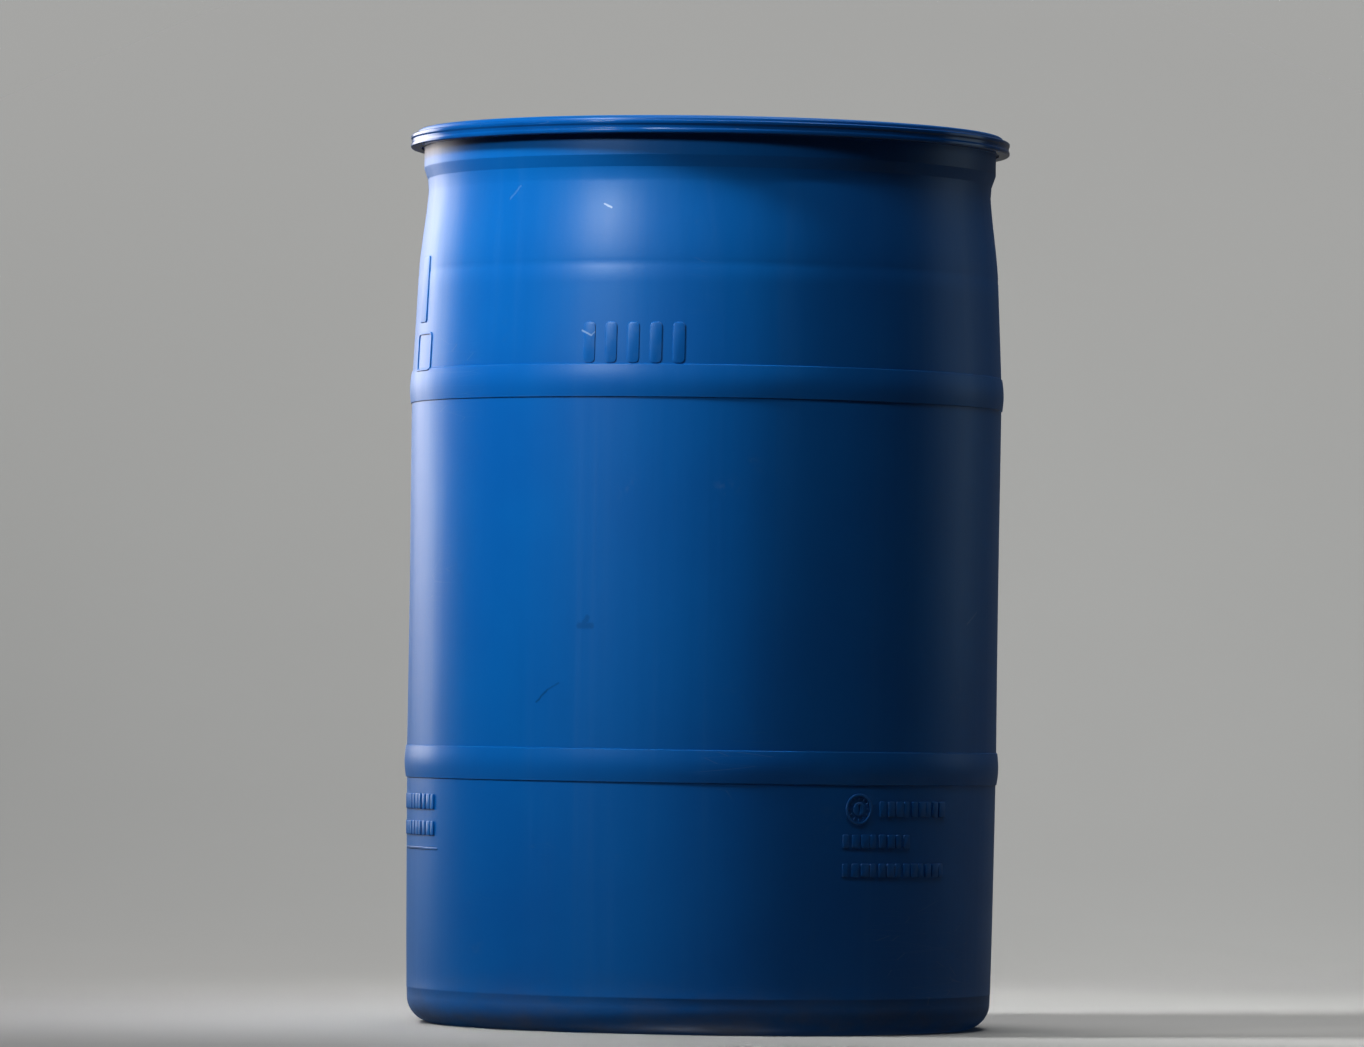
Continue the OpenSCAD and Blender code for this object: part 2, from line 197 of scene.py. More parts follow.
def shade(color, gain, lift=0.0):
    return tuple(min(1, channel * gain + lift) for channel in color)


# ------------------------------------------------------------------ materials
def plastic(name, base, deep, rough, streak=1.0, dusty=True, scuffs=1.0,
            pale_marks=(), dark_marks=()):
    """Moulded plastic: vertical flow lines, orange peel, scuffed edges, dust low down."""
    mat = Shader(name)
    flow = mat.noise(stretch=(46, 46, 0.9), detail=5, rough=0.6)
    fine_flow = mat.noise(stretch=(170, 170, 3.5), detail=3, rough=0.6)
    cloud = mat.noise(scale=3.2)
    peel = mat.noise(scale=420.0, detail=2, rough=0.5)
    grain = mat.noise(scale=1500.0, detail=2, rough=0.5)
    blotch = mat.noise(scale=17.0, detail=5, rough=0.6, distort=0.6)
    color = mat.mix(mat.smooth(cloud, start=0.32, end=0.7), base, deep)
    pale = shade(base, gain=0.95, lift=0.022)
    color = mat.mix(mat.smooth(flow, start=0.52, end=0.78), color, pale, amount=0.22 * streak)
    color = mat.mix(mat.smooth(fine_flow, start=0.5, end=0.8), color, shade(base, gain=0.75),
                    amount=0.10 * streak)

    # thin strokes, rubbed patches and worn edges
    stroke = mat.multiply(
        mat.smooth(mat.cell_edges(stretch=(9, 9, 120)), start=0.012, end=0.0),
        mat.smooth(mat.noise(scale=6.0, detail=2, rough=0.5), start=0.60, end=0.68))
    rub = mat.multiply(
        mat.smooth(blotch, start=0.62, end=0.78),
        mat.smooth(mat.noise(scale=90.0, detail=3, rough=0.7), start=0.45, end=0.65))
    edge = mat.multiply(
        mat.smooth(mat.geometry("Pointiness"), start=0.515, end=0.56),
        mat.smooth(mat.noise(scale=60.0, detail=4, rough=0.65), start=0.44, end=0.62))
    stroke_amount, rub_amount, edge_amount = 0.35 * scuffs, 0.18 * scuffs, 0.42 * scuffs
    wear = mat.larger(mat.multiply(stroke, stroke_amount),
                      mat.larger(mat.multiply(rub, rub_amount),
                                 mat.multiply(edge, edge_amount)))
    color = mat.mix(wear, color, shade(base, gain=0.6, lift=0.14))
    nick = 0.0
    if pale_marks:
        nick = mat.strokes(pale_marks, radius=0.288)
        color = mat.mix(nick, color, (0.50, 0.62, 0.74))
    if dark_marks:
        dark = mat.strokes(dark_marks, radius=0.292)
        color = mat.mix(dark, color, shade(base, gain=0.35))

    roughness = mat.vary(rough, flow, amount=0.16 * streak)
    roughness = mat.vary(roughness, cloud, amount=0.14)
    roughness = mat.add(roughness, mat.multiply(wear, 0.3))
    if dusty:
        height = mat.node("SeparateXYZ", {0: mat.co}).outputs["Z"]
        low = mat.math("POWER", mat.smooth(height, start=0.075, end=0.0), 1.6)
        patches = mat.noise(stretch=(14, 14, 30), detail=5, rough=0.65)
        film = mat.multiply(low, mat.smooth(patches, start=0.3, end=0.75))
        grime = mat.multiply(film, 0.45)
        color = mat.mix(grime, color, (0.16, 0.145, 0.12))
        roughness = mat.add(roughness, mat.multiply(grime, 0.5))

    nick_depth = 6.0
    damage = mat.add(wear, mat.multiply(nick, nick_depth))
    normal = mat.bumps((peel, 0.10, 0.0004),
                       (flow, 0.16 * streak, 0.0009),
                       (mat.subtract(grain, damage), 0.07, 0.0003))
    return mat.finish(mat.principled(color, mat.math("MINIMUM", roughness, 0.95), normal,
                                     IOR=1.5, **{"Coat Roughness": 0.2}))


def metal(name, base, rough=0.34, wear=1.0):
    """Plated pressed steel: faint spangle, rubbed edges, painted shade darkening the hollows."""
    mat = Shader(name)
    cells = mat.node("TexVoronoi", {"Vector": mat.co, "Scale": 210.0}, feature="F1")
    spangle = mat.node("RGBToBW", {0: cells.outputs["Color"]}).outputs[0]
    cloud = mat.noise(scale=34.0, detail=5, rough=0.6)
    brushed = mat.noise(stretch=(60, 60, 2200), detail=3, rough=0.6)
    point = mat.geometry("Pointiness")
    edge = mat.multiply(mat.smooth(point, start=0.51, end=0.56), 0.5)
    color = mat.mix(spangle, base, shade(base, gain=0.78), amount=0.22)
    color = mat.mix(mat.smooth(cloud, start=0.45, end=0.85, high=0.5 * wear), color,
                    shade(base, gain=0.55))
    # painted shade: concave spots are darkened towards near black
    color = mat.mix(mat.smooth(point, start=0.495, end=0.46), color, (0.10, 0.095, 0.09),
                    amount=0.7)
    color = mat.mix(edge, color, shade(base, gain=1.25))
    roughness = mat.vary(rough, cloud, amount=0.30)
    roughness = mat.add(roughness, mat.multiply(brushed, 0.08))
    roughness = mat.subtract(roughness, mat.multiply(edge, 0.12))
    smoothest, roughest = 0.12, 0.85
    roughness = mat.node("Clamp", {0: roughness, 1: smoothest, 2: roughest}).outputs[0]
    normal = mat.bumps((brushed, 0.10, 0.00012), (cloud, 0.18, 0.0003))
    return mat.finish(mat.principled(color, roughness, normal, Metallic=1.0))


def painted(name, base, deep):
    """Gloss paint on steel: soft orange peel, chips and fine scratches."""
    mat = Shader(name)
    cloud = mat.noise(scale=9.0, detail=4, rough=0.6)
    peel = mat.noise(scale=330.0, detail=2, rough=0.5)
    chip = mat.multiply(
        mat.smooth(mat.geometry("Pointiness"), start=0.53, end=0.57),
        mat.smooth(mat.noise(scale=120.0, detail=5, rough=0.7), start=0.58, end=0.64))
    spots = mat.smooth(mat.noise(scale=240.0, detail=3, rough=0.6), start=0.745, end=0.765)
    chip = mat.larger(chip, mat.multiply(spots, 0.8))
    scratch = mat.multiply(
        mat.smooth(mat.cell_edges(stretch=(14, 14, 500)), start=0.02, end=0.0),
        mat.smooth(mat.noise(scale=11.0, detail=2, rough=0.5), start=0.56, end=0.66))
    color = mat.mix(mat.smooth(cloud, start=0.35, end=0.7), base, deep)
    color = mat.mix(scratch, color, shade(base, gain=0.7, lift=0.2), amount=0.3)
    color = mat.mix(chip, color, (0.30, 0.31, 0.32))
    roughness = mat.vary(0.17, cloud, amount=0.12)
    roughness = mat.add(roughness, mat.multiply(chip, 0.3))
    roughness = mat.add(roughness, mat.multiply(scratch, 0.2))
    normal = mat.bumps((peel, 0.10, 0.0003), (mat.multiply(chip, -1.0), 0.5, 0.0003))
    return mat.finish(mat.principled(color, roughness, normal,
                                     Metallic=mat.multiply(chip, 0.6), IOR=1.5))


def rubber(name, base):
    """Matt rubber, cloudy, with painted shade darkening the hollows."""
    mat = Shader(name)
    cloud = mat.noise(scale=26.0, detail=5, rough=0.6)
    grit = mat.noise(scale=900.0, detail=2, rough=0.6)
    color = mat.mix(mat.smooth(cloud, start=0.35, end=0.75), base, shade(base, gain=0.72))
    # painted shade: concave spots are darkened
    hollow = mat.smooth(mat.geometry("Pointiness"), start=0.49, end=0.45, high=0.5)
    color = mat.mix(hollow, color, shade(base, gain=0.4))
    roughness = mat.vary(0.62, cloud, amount=0.3)
    normal = mat.bumps((grit, 0.2, 0.0003))
    return mat.finish(mat.principled(color, roughness, normal, IOR=1.45))


# marks on the drum wall: start angle, start z, end angle, end z, half width, strength
# angles in degrees from the front (-Y) towards +X, lengths in metres
PALE_MARKS = [
    (-21.0, 0.799, -19.6, 0.7955, 0.0012, 0.6), (-24.6, 0.6765, -22.6, 0.672, 0.0012, 0.30),
    (-22.6, 0.6715, -21.9, 0.675, 0.0010, 0.25), (-43.5, 0.806, -41.0, 0.818, 0.0014, 0.07),
    (62.0, 0.40, 66.5, 0.412, 0.0012, 0.12), (140.0, 0.62, 144.0, 0.614, 0.0011, 0.22),
    (-172.0, 0.33, -170.2, 0.345, 0.0010, 0.18), (-129.0, 0.70, -126.0, 0.7025, 0.0011, 0.2),
    (-95.0, 0.18, -93.0, 0.174, 0.0011, 0.2),
]
DARK_MARKS = [
    (-33.3, 0.318, -30.8, 0.330, 0.0013, 0.55), (-30.8, 0.330, -28.4, 0.3365, 0.0012, 0.4),
    (-24.2, 0.392, -21.8, 0.392, 0.0042, 0.30), (-23.2, 0.395, -22.5, 0.400, 0.0036, 0.30),
    (95.0, 0.52, 101.0, 0.509, 0.0013, 0.5), (170.0, 0.47, 173.0, 0.481, 0.0014, 0.5),
]
BODY_PLASTIC = plastic("hdpe_body", base=(0.0025, 0.124, 0.390), deep=(0.002, 0.104, 0.350),
                       rough=0.38, pale_marks=PALE_MARKS, dark_marks=DARK_MARKS)
LID_PLASTIC = plastic("hdpe_lid", base=(0.0022, 0.092, 0.300), deep=(0.002, 0.077, 0.265),
                      rough=0.34, streak=0.25, dusty=False, scuffs=0.8)
RING_PAINT = painted("ring_paint", base=(0.0020, 0.074, 0.255), deep=(0.0018, 0.062, 0.220))
BUNG_PLASTIC = plastic("bung_plastic", base=(0.016, 0.016, 0.018), deep=(0.011, 0.011, 0.013),
                       rough=0.42, streak=0.2, dusty=False, scuffs=0.7)
ZINC = metal("zinc_steel", base=(0.66, 0.67, 0.66))
PIN_STEEL = metal("pin_steel", base=(0.56, 0.57, 0.58), rough=0.28, wear=0.7)
SEAL_RUBBER = rubber("seal_rubber", base=(0.60, 0.61, 0.57))


# ------------------------------------------------------------------ outlines
def unit(value):
    return min(1.0, max(0.0, value))


def from_rim(*points):
    """Profile points given as (outwards, upwards) from the rim's outer top corner."""
    return [(RIM + x, TOP + z) for x, z in points]


def arc(x, y, radius, start, end, steps):
    angles = [math.radians(start + (end - start) * i / steps) for i in range(steps + 1)]
    return [(x + radius * math.cos(a), y + radius * math.sin(a)) for a in angles]


def circle(x, y, radius, segments):
    angles = [2 * math.pi * i / segments for i in range(segments)]
    return [(x + radius * math.cos(a), y + radius * math.sin(a)) for a in angles]


def rounded_rect(width, height, radius, steps, x=0, y=0):
    radius = min(radius, width / 2 - 1e-3, height / 2 - 1e-3)
    out = []
    for side, end, start in ((1, -1, -90), (1, 1, 0), (-1, 1, 90), (-1, -1, 180)):
        out += arc(x + side * (width / 2 - radius), y + end * (height / 2 - radius), radius,
                   start, start + 90, steps)
    return out


def fillet(points, radius, steps=3, closed=True):
    """Rounds corners that turn 12 degrees or more; the radius shrinks on short sides."""
    out, count = [], len(points)
    for i, point in enumerate(points):
        if not closed and i in (0, count - 1):
            out.append(point)
            continue
        corner = Vector(point)
        back = Vector(points[i - 1]) - corner
        ahead = Vector(points[(i + 1) % count]) - corner
        back_length, ahead_length = back.length, ahead.length
        if back_length < 1e-6 or ahead_length < 1e-6:
            out.append(point)
            continue
        back, ahead = back / back_length, ahead / ahead_length
        turn = math.pi - back.angle(ahead)
        if turn < math.radians(12):
            out.append(tuple(corner))
            continue
        reach = min(radius * math.tan(turn / 2), 0.45 * back_length, 0.45 * ahead_length)
        for j in range(steps + 1):
            t = j / steps
            bend = ((corner + back * reach) * (1 - t) ** 2 + corner * 2 * t * (1 - t)
                    + (corner + ahead * reach) * t ** 2)
            out.append((bend.x, bend.y))
    return out


def dense(loop, step):
    """Adds points so that no side is much longer than step and the loop can be bent."""
    out = []
    for i in range(len(loop)):
        a, b = loop[i - 1], loop[i]
        n = max(1, int(math.dist(a, b) / step))
        out += [(a[0] + (b[0] - a[0]) * (j + 1) / n, a[1] + (b[1] - a[1]) * (j + 1) / n)
                for j in range(n)]
    return out


def straight(a, b, step=14.0):
    """Points between a and b, without the ends, so long walls can be a little wavy."""
    n = max(1, int(math.dist(a, b) / step))
    return [(a[0] + (b[0] - a[0]) * i / n, a[1] + (b[1] - a[1]) * i / n) for i in range(1, n)]


def offset_loop(loop, distance):
    """Moves a counter-clockwise loop inwards."""
    out = []
    for i in range(len(loop)):
        point = Vector(loop[i])
        arriving = point - Vector(loop[i - 1])
        leaving = Vector(loop[(i + 1) % len(loop)]) - point
        arriving = arriving.normalized() if arriving.length > 1e-9 else leaving.normalized()
        leaving = leaving.normalized() if leaving.length > 1e-9 else arriving
        inward = Vector((-(arriving.y + leaving.y), arriving.x + leaving.x))
        if inward.length < 1e-9:
            out.append(tuple(point))
            continue
        inward.normalize()
        slant = max(0.35, inward.dot(Vector((-arriving.y, arriving.x))))
        moved = point + inward * (distance / slant)
        out.append((moved.x, moved.y))
    return out


def counter_clockwise(loop):
    area = 0.5 * sum(loop[i - 1][0] * loop[i][1] - loop[i][0] * loop[i - 1][1]
                     for i in range(len(loop)))
    return list(loop) if area > 0 else list(reversed(loop))


# ------------------------------------------------------------------ placing plates
def flat(angle=0.0, centre=(0, 0), z=0.0, up=1):
    """Places a plate level, turned by angle (radians) and moved to centre and z."""
    cos, sin = math.cos(angle), math.sin(angle)
    return lambda x, y, height: (centre[0] + x * cos - y * sin, centre[1] + x * sin + y * cos,
                                 z + up * height)


def upright(angle, x=0.0):
    """Stands a plate on edge along a radius from (x, 0): its own y becomes z."""
    cos, sin = math.cos(angle), math.sin(angle)
    return lambda along, z, across: (x + along * cos - across * sin,
                                     along * sin + across * cos, z)


# ------------------------------------------------------------------ mesh tools
def mark_sharp(bm, sharp):
    for face in bm.faces:
        face.smooth = True
    for edge in bm.edges:
        turn = edge.calc_face_angle(0.0) if len(edge.link_faces) == 2 else 0.0
        edge.smooth = not turn > math.radians(sharp)


def add_object(name, mesh, bm, material):
    """Writes bm into mesh and adds an object for it."""
    bm.to_mesh(mesh)
    bm.free()
    mesh.materials.append(material)
    ob = bpy.data.objects.new(name, mesh)
    scene.collection.objects.link(ob)
    return ob


def build(name, verts, faces, material, sharp=38.0, weld=0.0):
    """An object from points in mm, smooth but for edges that turn more than sharp degrees."""
    mesh = bpy.data.meshes.new(name)
    mesh.from_pydata([(x * MM, y * MM, z * MM) for x, y, z in verts], [], faces)
    mesh.update()
    bm = bmesh.new()
    bm.from_mesh(mesh)
    if weld:
        bmesh.ops.remove_doubles(bm, verts=bm.verts, dist=weld * MM)
        bmesh.ops.dissolve_degenerate(bm, edges=bm.edges, dist=1e-7)
    bmesh.ops.recalc_face_normals(bm, faces=bm.faces)
    mark_sharp(bm, sharp)
    return add_object(name, mesh, bm, material)


def skin_faces(columns, size, around=False, closed=False):
    """Quads between columns of size points. around joins the last column to the first;
    closed joins the ends of each column."""
    faces = []
    for i in range(columns if around else columns - 1):
        near, far = i * size, ((i + 1) % columns) * size
        for j in range(size if closed else size - 1):
            k = (j + 1) % size
            faces.append((near + j, far + j, far + k, near + k))
    return faces


def end_caps(columns, size):
    return [tuple(range(size)), tuple(reversed([(columns - 1) * size + j for j in range(size)]))]


def revolve(name, profile, material, segments, start=0.0, end=360.0, centre=(0, 0),
            closed=True, sharp=38.0):
    """Turns (radius, z) points about an upright axis. Angles run from +X towards +Y."""
    full = abs(end - start) >= 360
    columns = segments if full else segments + 1
    verts = []
    for i in range(columns):
        angle = math.radians(start + (end - start) * i / segments)
        cos, sin = math.cos(angle), math.sin(angle)
        verts += [(centre[0] + r * cos, centre[1] + r * sin, z) for r, z in profile]
    faces = skin_faces(columns, len(profile), around=full, closed=closed)
    if not full:
        faces += end_caps(columns, len(profile))
    return build(name, verts, faces, material, sharp, weld=0.0005)


def plate(name, outline, holes, low, high, material, bevel, place=flat(), sharp=38.0,
          bottom=True):
    """A plate from z = low to high with rounded rims; place maps its (x, y, z) to the drum.
    Without bottom the low side is open and has no rounding."""
    steps = 3
    angles = [math.pi / 2 * j / steps for j in range(steps + 1)]
    rim = [(bevel * (1 - math.cos(a)), bevel * (1 - math.sin(a))) for a in angles]
    rows = [(low + rise, inset) for rise, inset in rim] if bottom else [(low, 0.0)]
    rows += [(high - rise, inset) for rise, inset in reversed(rim)]
    loops = [counter_clockwise(outline)]
    loops += [list(reversed(counter_clockwise(hole))) for hole in holes]
    bm = bmesh.new()
    walls = []
    for loop in loops:
        rings = []
        for z, inset in rows:
            points = offset_loop(loop, inset) if inset > 1e-9 else loop
            placed = [place(x, y, z) for x, y in points]
            rings.append([bm.verts.new((x * MM, y * MM, w * MM)) for x, y, w in placed])
        n = len(loop)
        for a, b in zip(rings, rings[1:]):
            for i in range(n):
                bm.faces.new((a[i], a[(i + 1) % n], b[(i + 1) % n], b[i]))
        walls.append(rings)
    for end in (0, -1) if bottom else (-1,):
        rings = [wall[end] for wall in walls]
        if len(rings) == 1:
            bm.faces.new(rings[0])
        else:
            edges = [bm.edges.get((ring[i], ring[(i + 1) % len(ring)]))
                     for ring in rings for i in range(len(ring))]
            bmesh.ops.triangle_fill(bm, use_beauty=True, use_dissolve=False, edges=edges)
    bmesh.ops.recalc_face_normals(bm, faces=bm.faces)
    mark_sharp(bm, sharp)
    return add_object(name, bpy.data.meshes.new(name), bm, material)


def join(name, parts):
    """One object from several of the same material."""
    bm = bmesh.new()
    for part in parts:
        bm.from_mesh(part.data)
    material = parts[0].data.materials[0]
    for part in parts:
        bpy.data.objects.remove(part)
    return add_object(name, bpy.data.meshes.new(name), bm, material)


def cut(ob, tool, sharp):
    """Takes tool away from ob, for good."""
    mod = ob.modifiers.new("cut", "BOOLEAN")
    mod.operation, mod.object, mod.solver = "DIFFERENCE", tool, "EXACT"
    depsgraph = bpy.context.evaluated_depsgraph_get()
    mesh = bpy.data.meshes.new_from_object(ob.evaluated_get(depsgraph))
    ob.modifiers.clear()
    ob.data = mesh
    bpy.data.objects.remove(tool)
    bm = bmesh.new()
    bm.from_mesh(mesh)
    bmesh.ops.remove_doubles(bm, verts=bm.verts, dist=2e-6)
    bmesh.ops.recalc_face_normals(bm, faces=bm.faces)
    mark_sharp(bm, sharp)
    bm.to_mesh(mesh)
    bm.free()


def hand_over(ob, body, slot, *nodes):
    if nodes:
        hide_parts(*nodes)
    if body:
        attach(ob, body)


# ------------------------------------------------------------------ drum wall profile
LOW_BEAD_Z, HIGH_BEAD_Z = 258.0, 628.5
SHOULDER_LOW, SHOULDER_HIGH = TOP - 139, TOP - 59.3
SHOULDER_R = BODY_R - 4.3
CORNER = 26.0                       # radius of the bottom corner
CORNER_R = BODY_R - 2.7 - CORNER    # where that corner's centre lies
BASE_Z = 7.0                        # underside of the recessed base


def bead(middle, low_r, high_r):
    """A rolling hoop round the wall; the wall radius may change across it."""
    height, step, bulge, steps = 31.0, 1.1, 2.4, 14
    low, high = middle - height / 2, middle + height / 2
    points = [(low_r, low - 1.4), (low_r, low - 0.6)]
    for i in range(steps + 1):
        t = i / steps
        swell = (bulge - step) * math.sin(math.pi * t)
        points.append((low_r + (high_r - low_r) * t + step + swell, low + (high - low) * t))
    return points + [(high_r, high + 0.6), (high_r, high + 1.4)]


def shoulder():
    points = []
    for i in range(23):
        z = SHOULDER_LOW + (SHOULDER_HIGH - SHOULDER_LOW) * i / 22
        t = (z - SHOULDER_LOW) / (SHOULDER_HIGH - SHOULDER_LOW)
        ease = 0.45 * t * t * (3 - 2 * t) + 0.55 * t
        points.append((SHOULDER_R - (SHOULDER_R - WAIST_R) * ease, z))
    return points


def outer_wall():
    """(radius, z) up the outside, from the bottom corner to the top of the shoulder."""
    foot_end = (BODY_R - 2.2, 50.0)
    low_bead = bead(LOW_BEAD_Z, BODY_R, BODY_R + 0.4)
    middle = (BODY_R + 0.1, (LOW_BEAD_Z + HIGH_BEAD_Z) / 2)
    high_bead = bead(HIGH_BEAD_Z, BODY_R + 0.5, BODY_R + 0.1)
    shoulder_foot = (SHOULDER_R + 0.35, 738.8)
    line = arc(CORNER_R, CORNER, CORNER, -90, 0, 10)
    line += straight(line[-1], (BODY_R - 2.55, 34.2), step=8)
    line += [(BODY_R - 2.5, 34.2), (BODY_R - 2.15, 35.0), (BODY_R - 2.25, 35.8)]
    line += straight(line[-1], foot_end, step=8) + [foot_end]
    line += straight(foot_end, low_bead[0]) + low_bead
    line += straight(low_bead[-1], middle) + [middle]
    line += straight(middle, high_bead[0]) + high_bead
    line += straight(high_bead[-1], shoulder_foot)
    return line + [shoulder_foot, (SHOULDER_R + 0.05, 740.0)] + shoulder()


def neck_and_rim():
    neck = [(WAIST_R + 0.9, TOP - 48.7), (NECK_R - 0.6, TOP - 39.4), (NECK_R, TOP - 37.4),
            (NECK_R, TOP - 20.5)] + arc(NECK_R + 2, TOP - 18, 2, 180, 90, 5)
    rim = from_rim((-2.7, -16), (-2.7, -11), (-10, -11), (-10, -8), (-15.5, -8),
                   (-15.5, -12), (-16.2, -14.5), (-16.2, -17))
    points = [WALL_LINE[-1]] + neck + rim + [(NECK_R - WALL, TOP - 23)]
    return fillet(points, 1.2, 4, closed=False)[1:]


def inner_skin():
    """(radius, z) down the inside of the drum to the axis."""
    bore = BODY_R - WALL + 0.2
    neck = [(NECK_R - WALL, TOP - 36.4), (NECK_R - WALL - 0.6, TOP - 38.6),
            (WAIST_R - WALL + 0.9, TOP - 48)]
    slope = [(r - WALL, z - 0.6) for r, z in reversed(shoulder())][::2]
    wall = [(bore, HIGH_BEAD_Z + 20), (bore, (HIGH_BEAD_Z + LOW_BEAD_Z) / 2),
            (bore, LOW_BEAD_Z - 20), (BODY_R - WALL - 2.2, 50)]
    base = [(234, 4), (223, 12), (140, 12), (60, 12), (0, 12)]
    return neck + slope + wall + arc(CORNER_R, CORNER, CORNER - WALL, 0, -90, 8) + base


WALL_LINE = outer_wall()
WALL_STATIONS = sorted(set((round(z, 3), r) for r, z in WALL_LINE))


def wall_radius(z):
    for (z0, r0), (z1, r1) in zip(WALL_STATIONS, WALL_STATIONS[1:]):
        if z0 <= z <= z1:
            return r0 + (r1 - r0) * (z - z0) / max(1e-6, z1 - z0)
    return BODY_R


# ------------------------------------------------------------------ drum shell
SEAMS = (0.0, math.pi)      # the mould's parting ridges, on the +X and -X sides
SEAM_RADIUS = 293.0         # turns distances from a ridge into angles
SEAM_HALF, SEAM_HEIGHT = 1.3, 0.45


def waviness(angle, r, z):
    """Slow unevenness of a moulded wall, and the parting ridges."""
    if r < 270 or z > TOP - 30:
        return 0.0
    fade = unit((z - 10) / 60) * unit((TOP - 40 - z) / 40)
    cos, sin = math.cos(angle), math.sin(angle)
    sway = 0.42 * noise.noise(Vector((cos * 1.9, sin * 1.9, z * 0.0042)))
    sway += 0.16 * noise.noise(Vector((cos * 7, sin * 7, z * 0.0013 + 9)))
    ridge = 0.0
    if r > BODY_R - 16:
        for seam in SEAMS:
            away = abs((angle - seam + math.pi) % (2 * math.pi) - math.pi) * SEAM_RADIUS
            ridge = max(ridge, SEAM_HEIGHT * (1 - away / SEAM_HALF))
    return sway * fade + ridge * fade


def body_angles(count=300):
    """Even angles, with more of them at the parting ridges."""
    angles = [2 * math.pi * i / count for i in range(count)]
    for seam in SEAMS:
        for step in (-2.6, -1.3, -0.65, 0.65, 1.3, 2.6):
            angles.append((seam + step / SEAM_RADIUS) % (2 * math.pi))
    return sorted(set(round(angle, 7) for angle in angles))


def body_shell():
    base_edge = [(200.0, BASE_Z), (222.0, BASE_Z), (232.0, 0.0), (CORNER_R, 0.0)]
    skin = [(0.0, BASE_Z), (60.0, BASE_Z), (140.0, BASE_Z), (200.0, BASE_Z)]
    skin += fillet(base_edge, 3.0, 4, closed=False)[1:-1] + WALL_LINE + neck_and_rim()
    inner = inner_skin()
    angles = body_angles()
    verts = []
    for angle in angles:
        column = [(r + waviness(angle, r, z), z) for r, z in skin] + inner
        cos, sin = math.cos(angle), math.sin(angle)
        verts += [(r * cos, r * sin, z) for r, z in column]
    faces = skin_faces(len(angles), len(skin) + len(inner), around=True)
    return build("drum_shell", verts, faces, BODY_PLASTIC, sharp=34.0, weld=0.0005)


# ------------------------------------------------------------------ moulded marks on the wall
# angles in degrees from the front (-Y) towards +X
DEGREE = math.pi * BODY_R / 180.0     # mm of wall per degree

# rows of blocks: z, height, first angle, count, block width and gap in degrees
BLOCK_ROWS = [
    (219, 15, 36.2, 9, 1.9, 0.12),
    (188, 13, 28, 8, 1.85, 0.2),
    (160, 13, 28, 13, 1.9, 0.15),
    (219, 15, -85, 10, 1.95, 0.3),
    (193, 14, -85, 10, 1.95, 0.3),
]


def on_wall(middle):
    """Wraps (distance round the wall, z, height above it) about the angle middle."""
    def place(x, z, height):
        radius = wall_radius(z) + height
        angle = math.radians(middle) + x / BODY_R
        return (radius * math.sin(angle), -radius * math.cos(angle), z)
    return place


def mark(outline, height, angle, z, bevel=0.6, holes=()):
    """A raised mark centred at angle and z, standing height above the wall."""
    outline, *holes = [[(x, y + z) for x, y in loop] for loop in (outline, *holes)]
    return plate("mark", outline, holes, -0.8, height, BODY_PLASTIC, bevel, on_wall(angle),
                 sharp=60.0, bottom=False)


def dial(z, angle, radius):
    """A ring round a slotted disc, with an arrow and twelve ticks."""
    parts = [
        mark(circle(0, 0, radius, 48), 1.6, angle, z, holes=[circle(0, 0, radius - 2.7, 48)]),
        mark(circle(0, 0, radius * 0.44, 32), 1.1, angle, z, bevel=0.5,
             holes=[rounded_rect(2.0, radius * 0.6, 0.6, 3)]),
        mark([(-2.2, radius * 0.3), (2.2, radius * 0.3), (0, radius * 0.42)], 1.35, angle, z,
             bevel=0.2),
    ]
    for i in range(12):
        turn = flat(math.radians(30 * i))
        tick = rounded_rect(radius * 0.2, 1.3, 0.4, 2, x=radius * 0.70)
        parts.append(mark([turn(x, y, 0)[:2] for x, y in tick], 1.0, angle, z, bevel=0.35))
    return parts


def drum_marks():
    parts = dial(219, 31.5, 15)
    for z, height, first, count, width, gap in BLOCK_ROWS:
        for i in range(count):
            wide = width * (0.7 + 0.15 * (i % 3))
            middle = first + i * (width + gap) + wide / 2
            parts.append(mark(rounded_rect(wide * DEGREE, height, 1.6, 4), 1.5, middle, z))
    # a thin line under the blocks at negative angles
    parts.append(mark(dense(rounded_rect(24 * DEGREE, 2.4, 1.1, 3), 6), 0.7, -74, 173.2,
                      bevel=0.5))
    # five low panels over the upper bead
    for i in range(5):
        parts.append(mark(rounded_rect(2.4 * DEGREE, 40, 4.5, 5), 0.8, -23 + i * 4.4, 665,
                          bevel=0.75))
    # a frame, and a tall panel above it
    width, height, bar = 9.5 * DEGREE, 38, 2.2
    opening = rounded_rect(width - 2 * bar, height - 2 * bar, 3, 5)
    parts.append(mark(dense(rounded_rect(width, height, 5, 5), 4), 0.9, -73.25, 661,
                      holes=[dense(opening, 4)]))
    parts.append(mark(rounded_rect(5 * DEGREE, 66, 4, 5), 0.9, -75, 723, bevel=0.8))
    return join("drum_moulded_marks", parts)


def base_ribs():
    """A pinch-off line across the underside of the base and eight radial ribs."""
    root = BASE_Z + 0.2
    parts = [plate("pinch", rounded_rect(300, 4.0, 1.9, 4), [], 0, 1.6, BODY_PLASTIC, 0.8,
                   flat(z=root, up=-1), sharp=60.0, bottom=False)]
    for i in range(8):
        parts.append(plate("foot_rib", rounded_rect(64, 5, 2.4, 4, x=178), [], 0, 2.4,
                           BODY_PLASTIC, 1.0, flat(math.radians(22.5 + 45 * i), z=root, up=-1),
                           sharp=60.0, bottom=False))
    return join("drum_base_ribs", parts)


shell, moulded, ribs = body_shell(), drum_marks(), base_ribs()
hand_over(shell, "drum", "body_plastic", "drum_body")
hand_over(moulded, "drum", "body_plastic")
hand_over(ribs, "drum", "body_plastic")

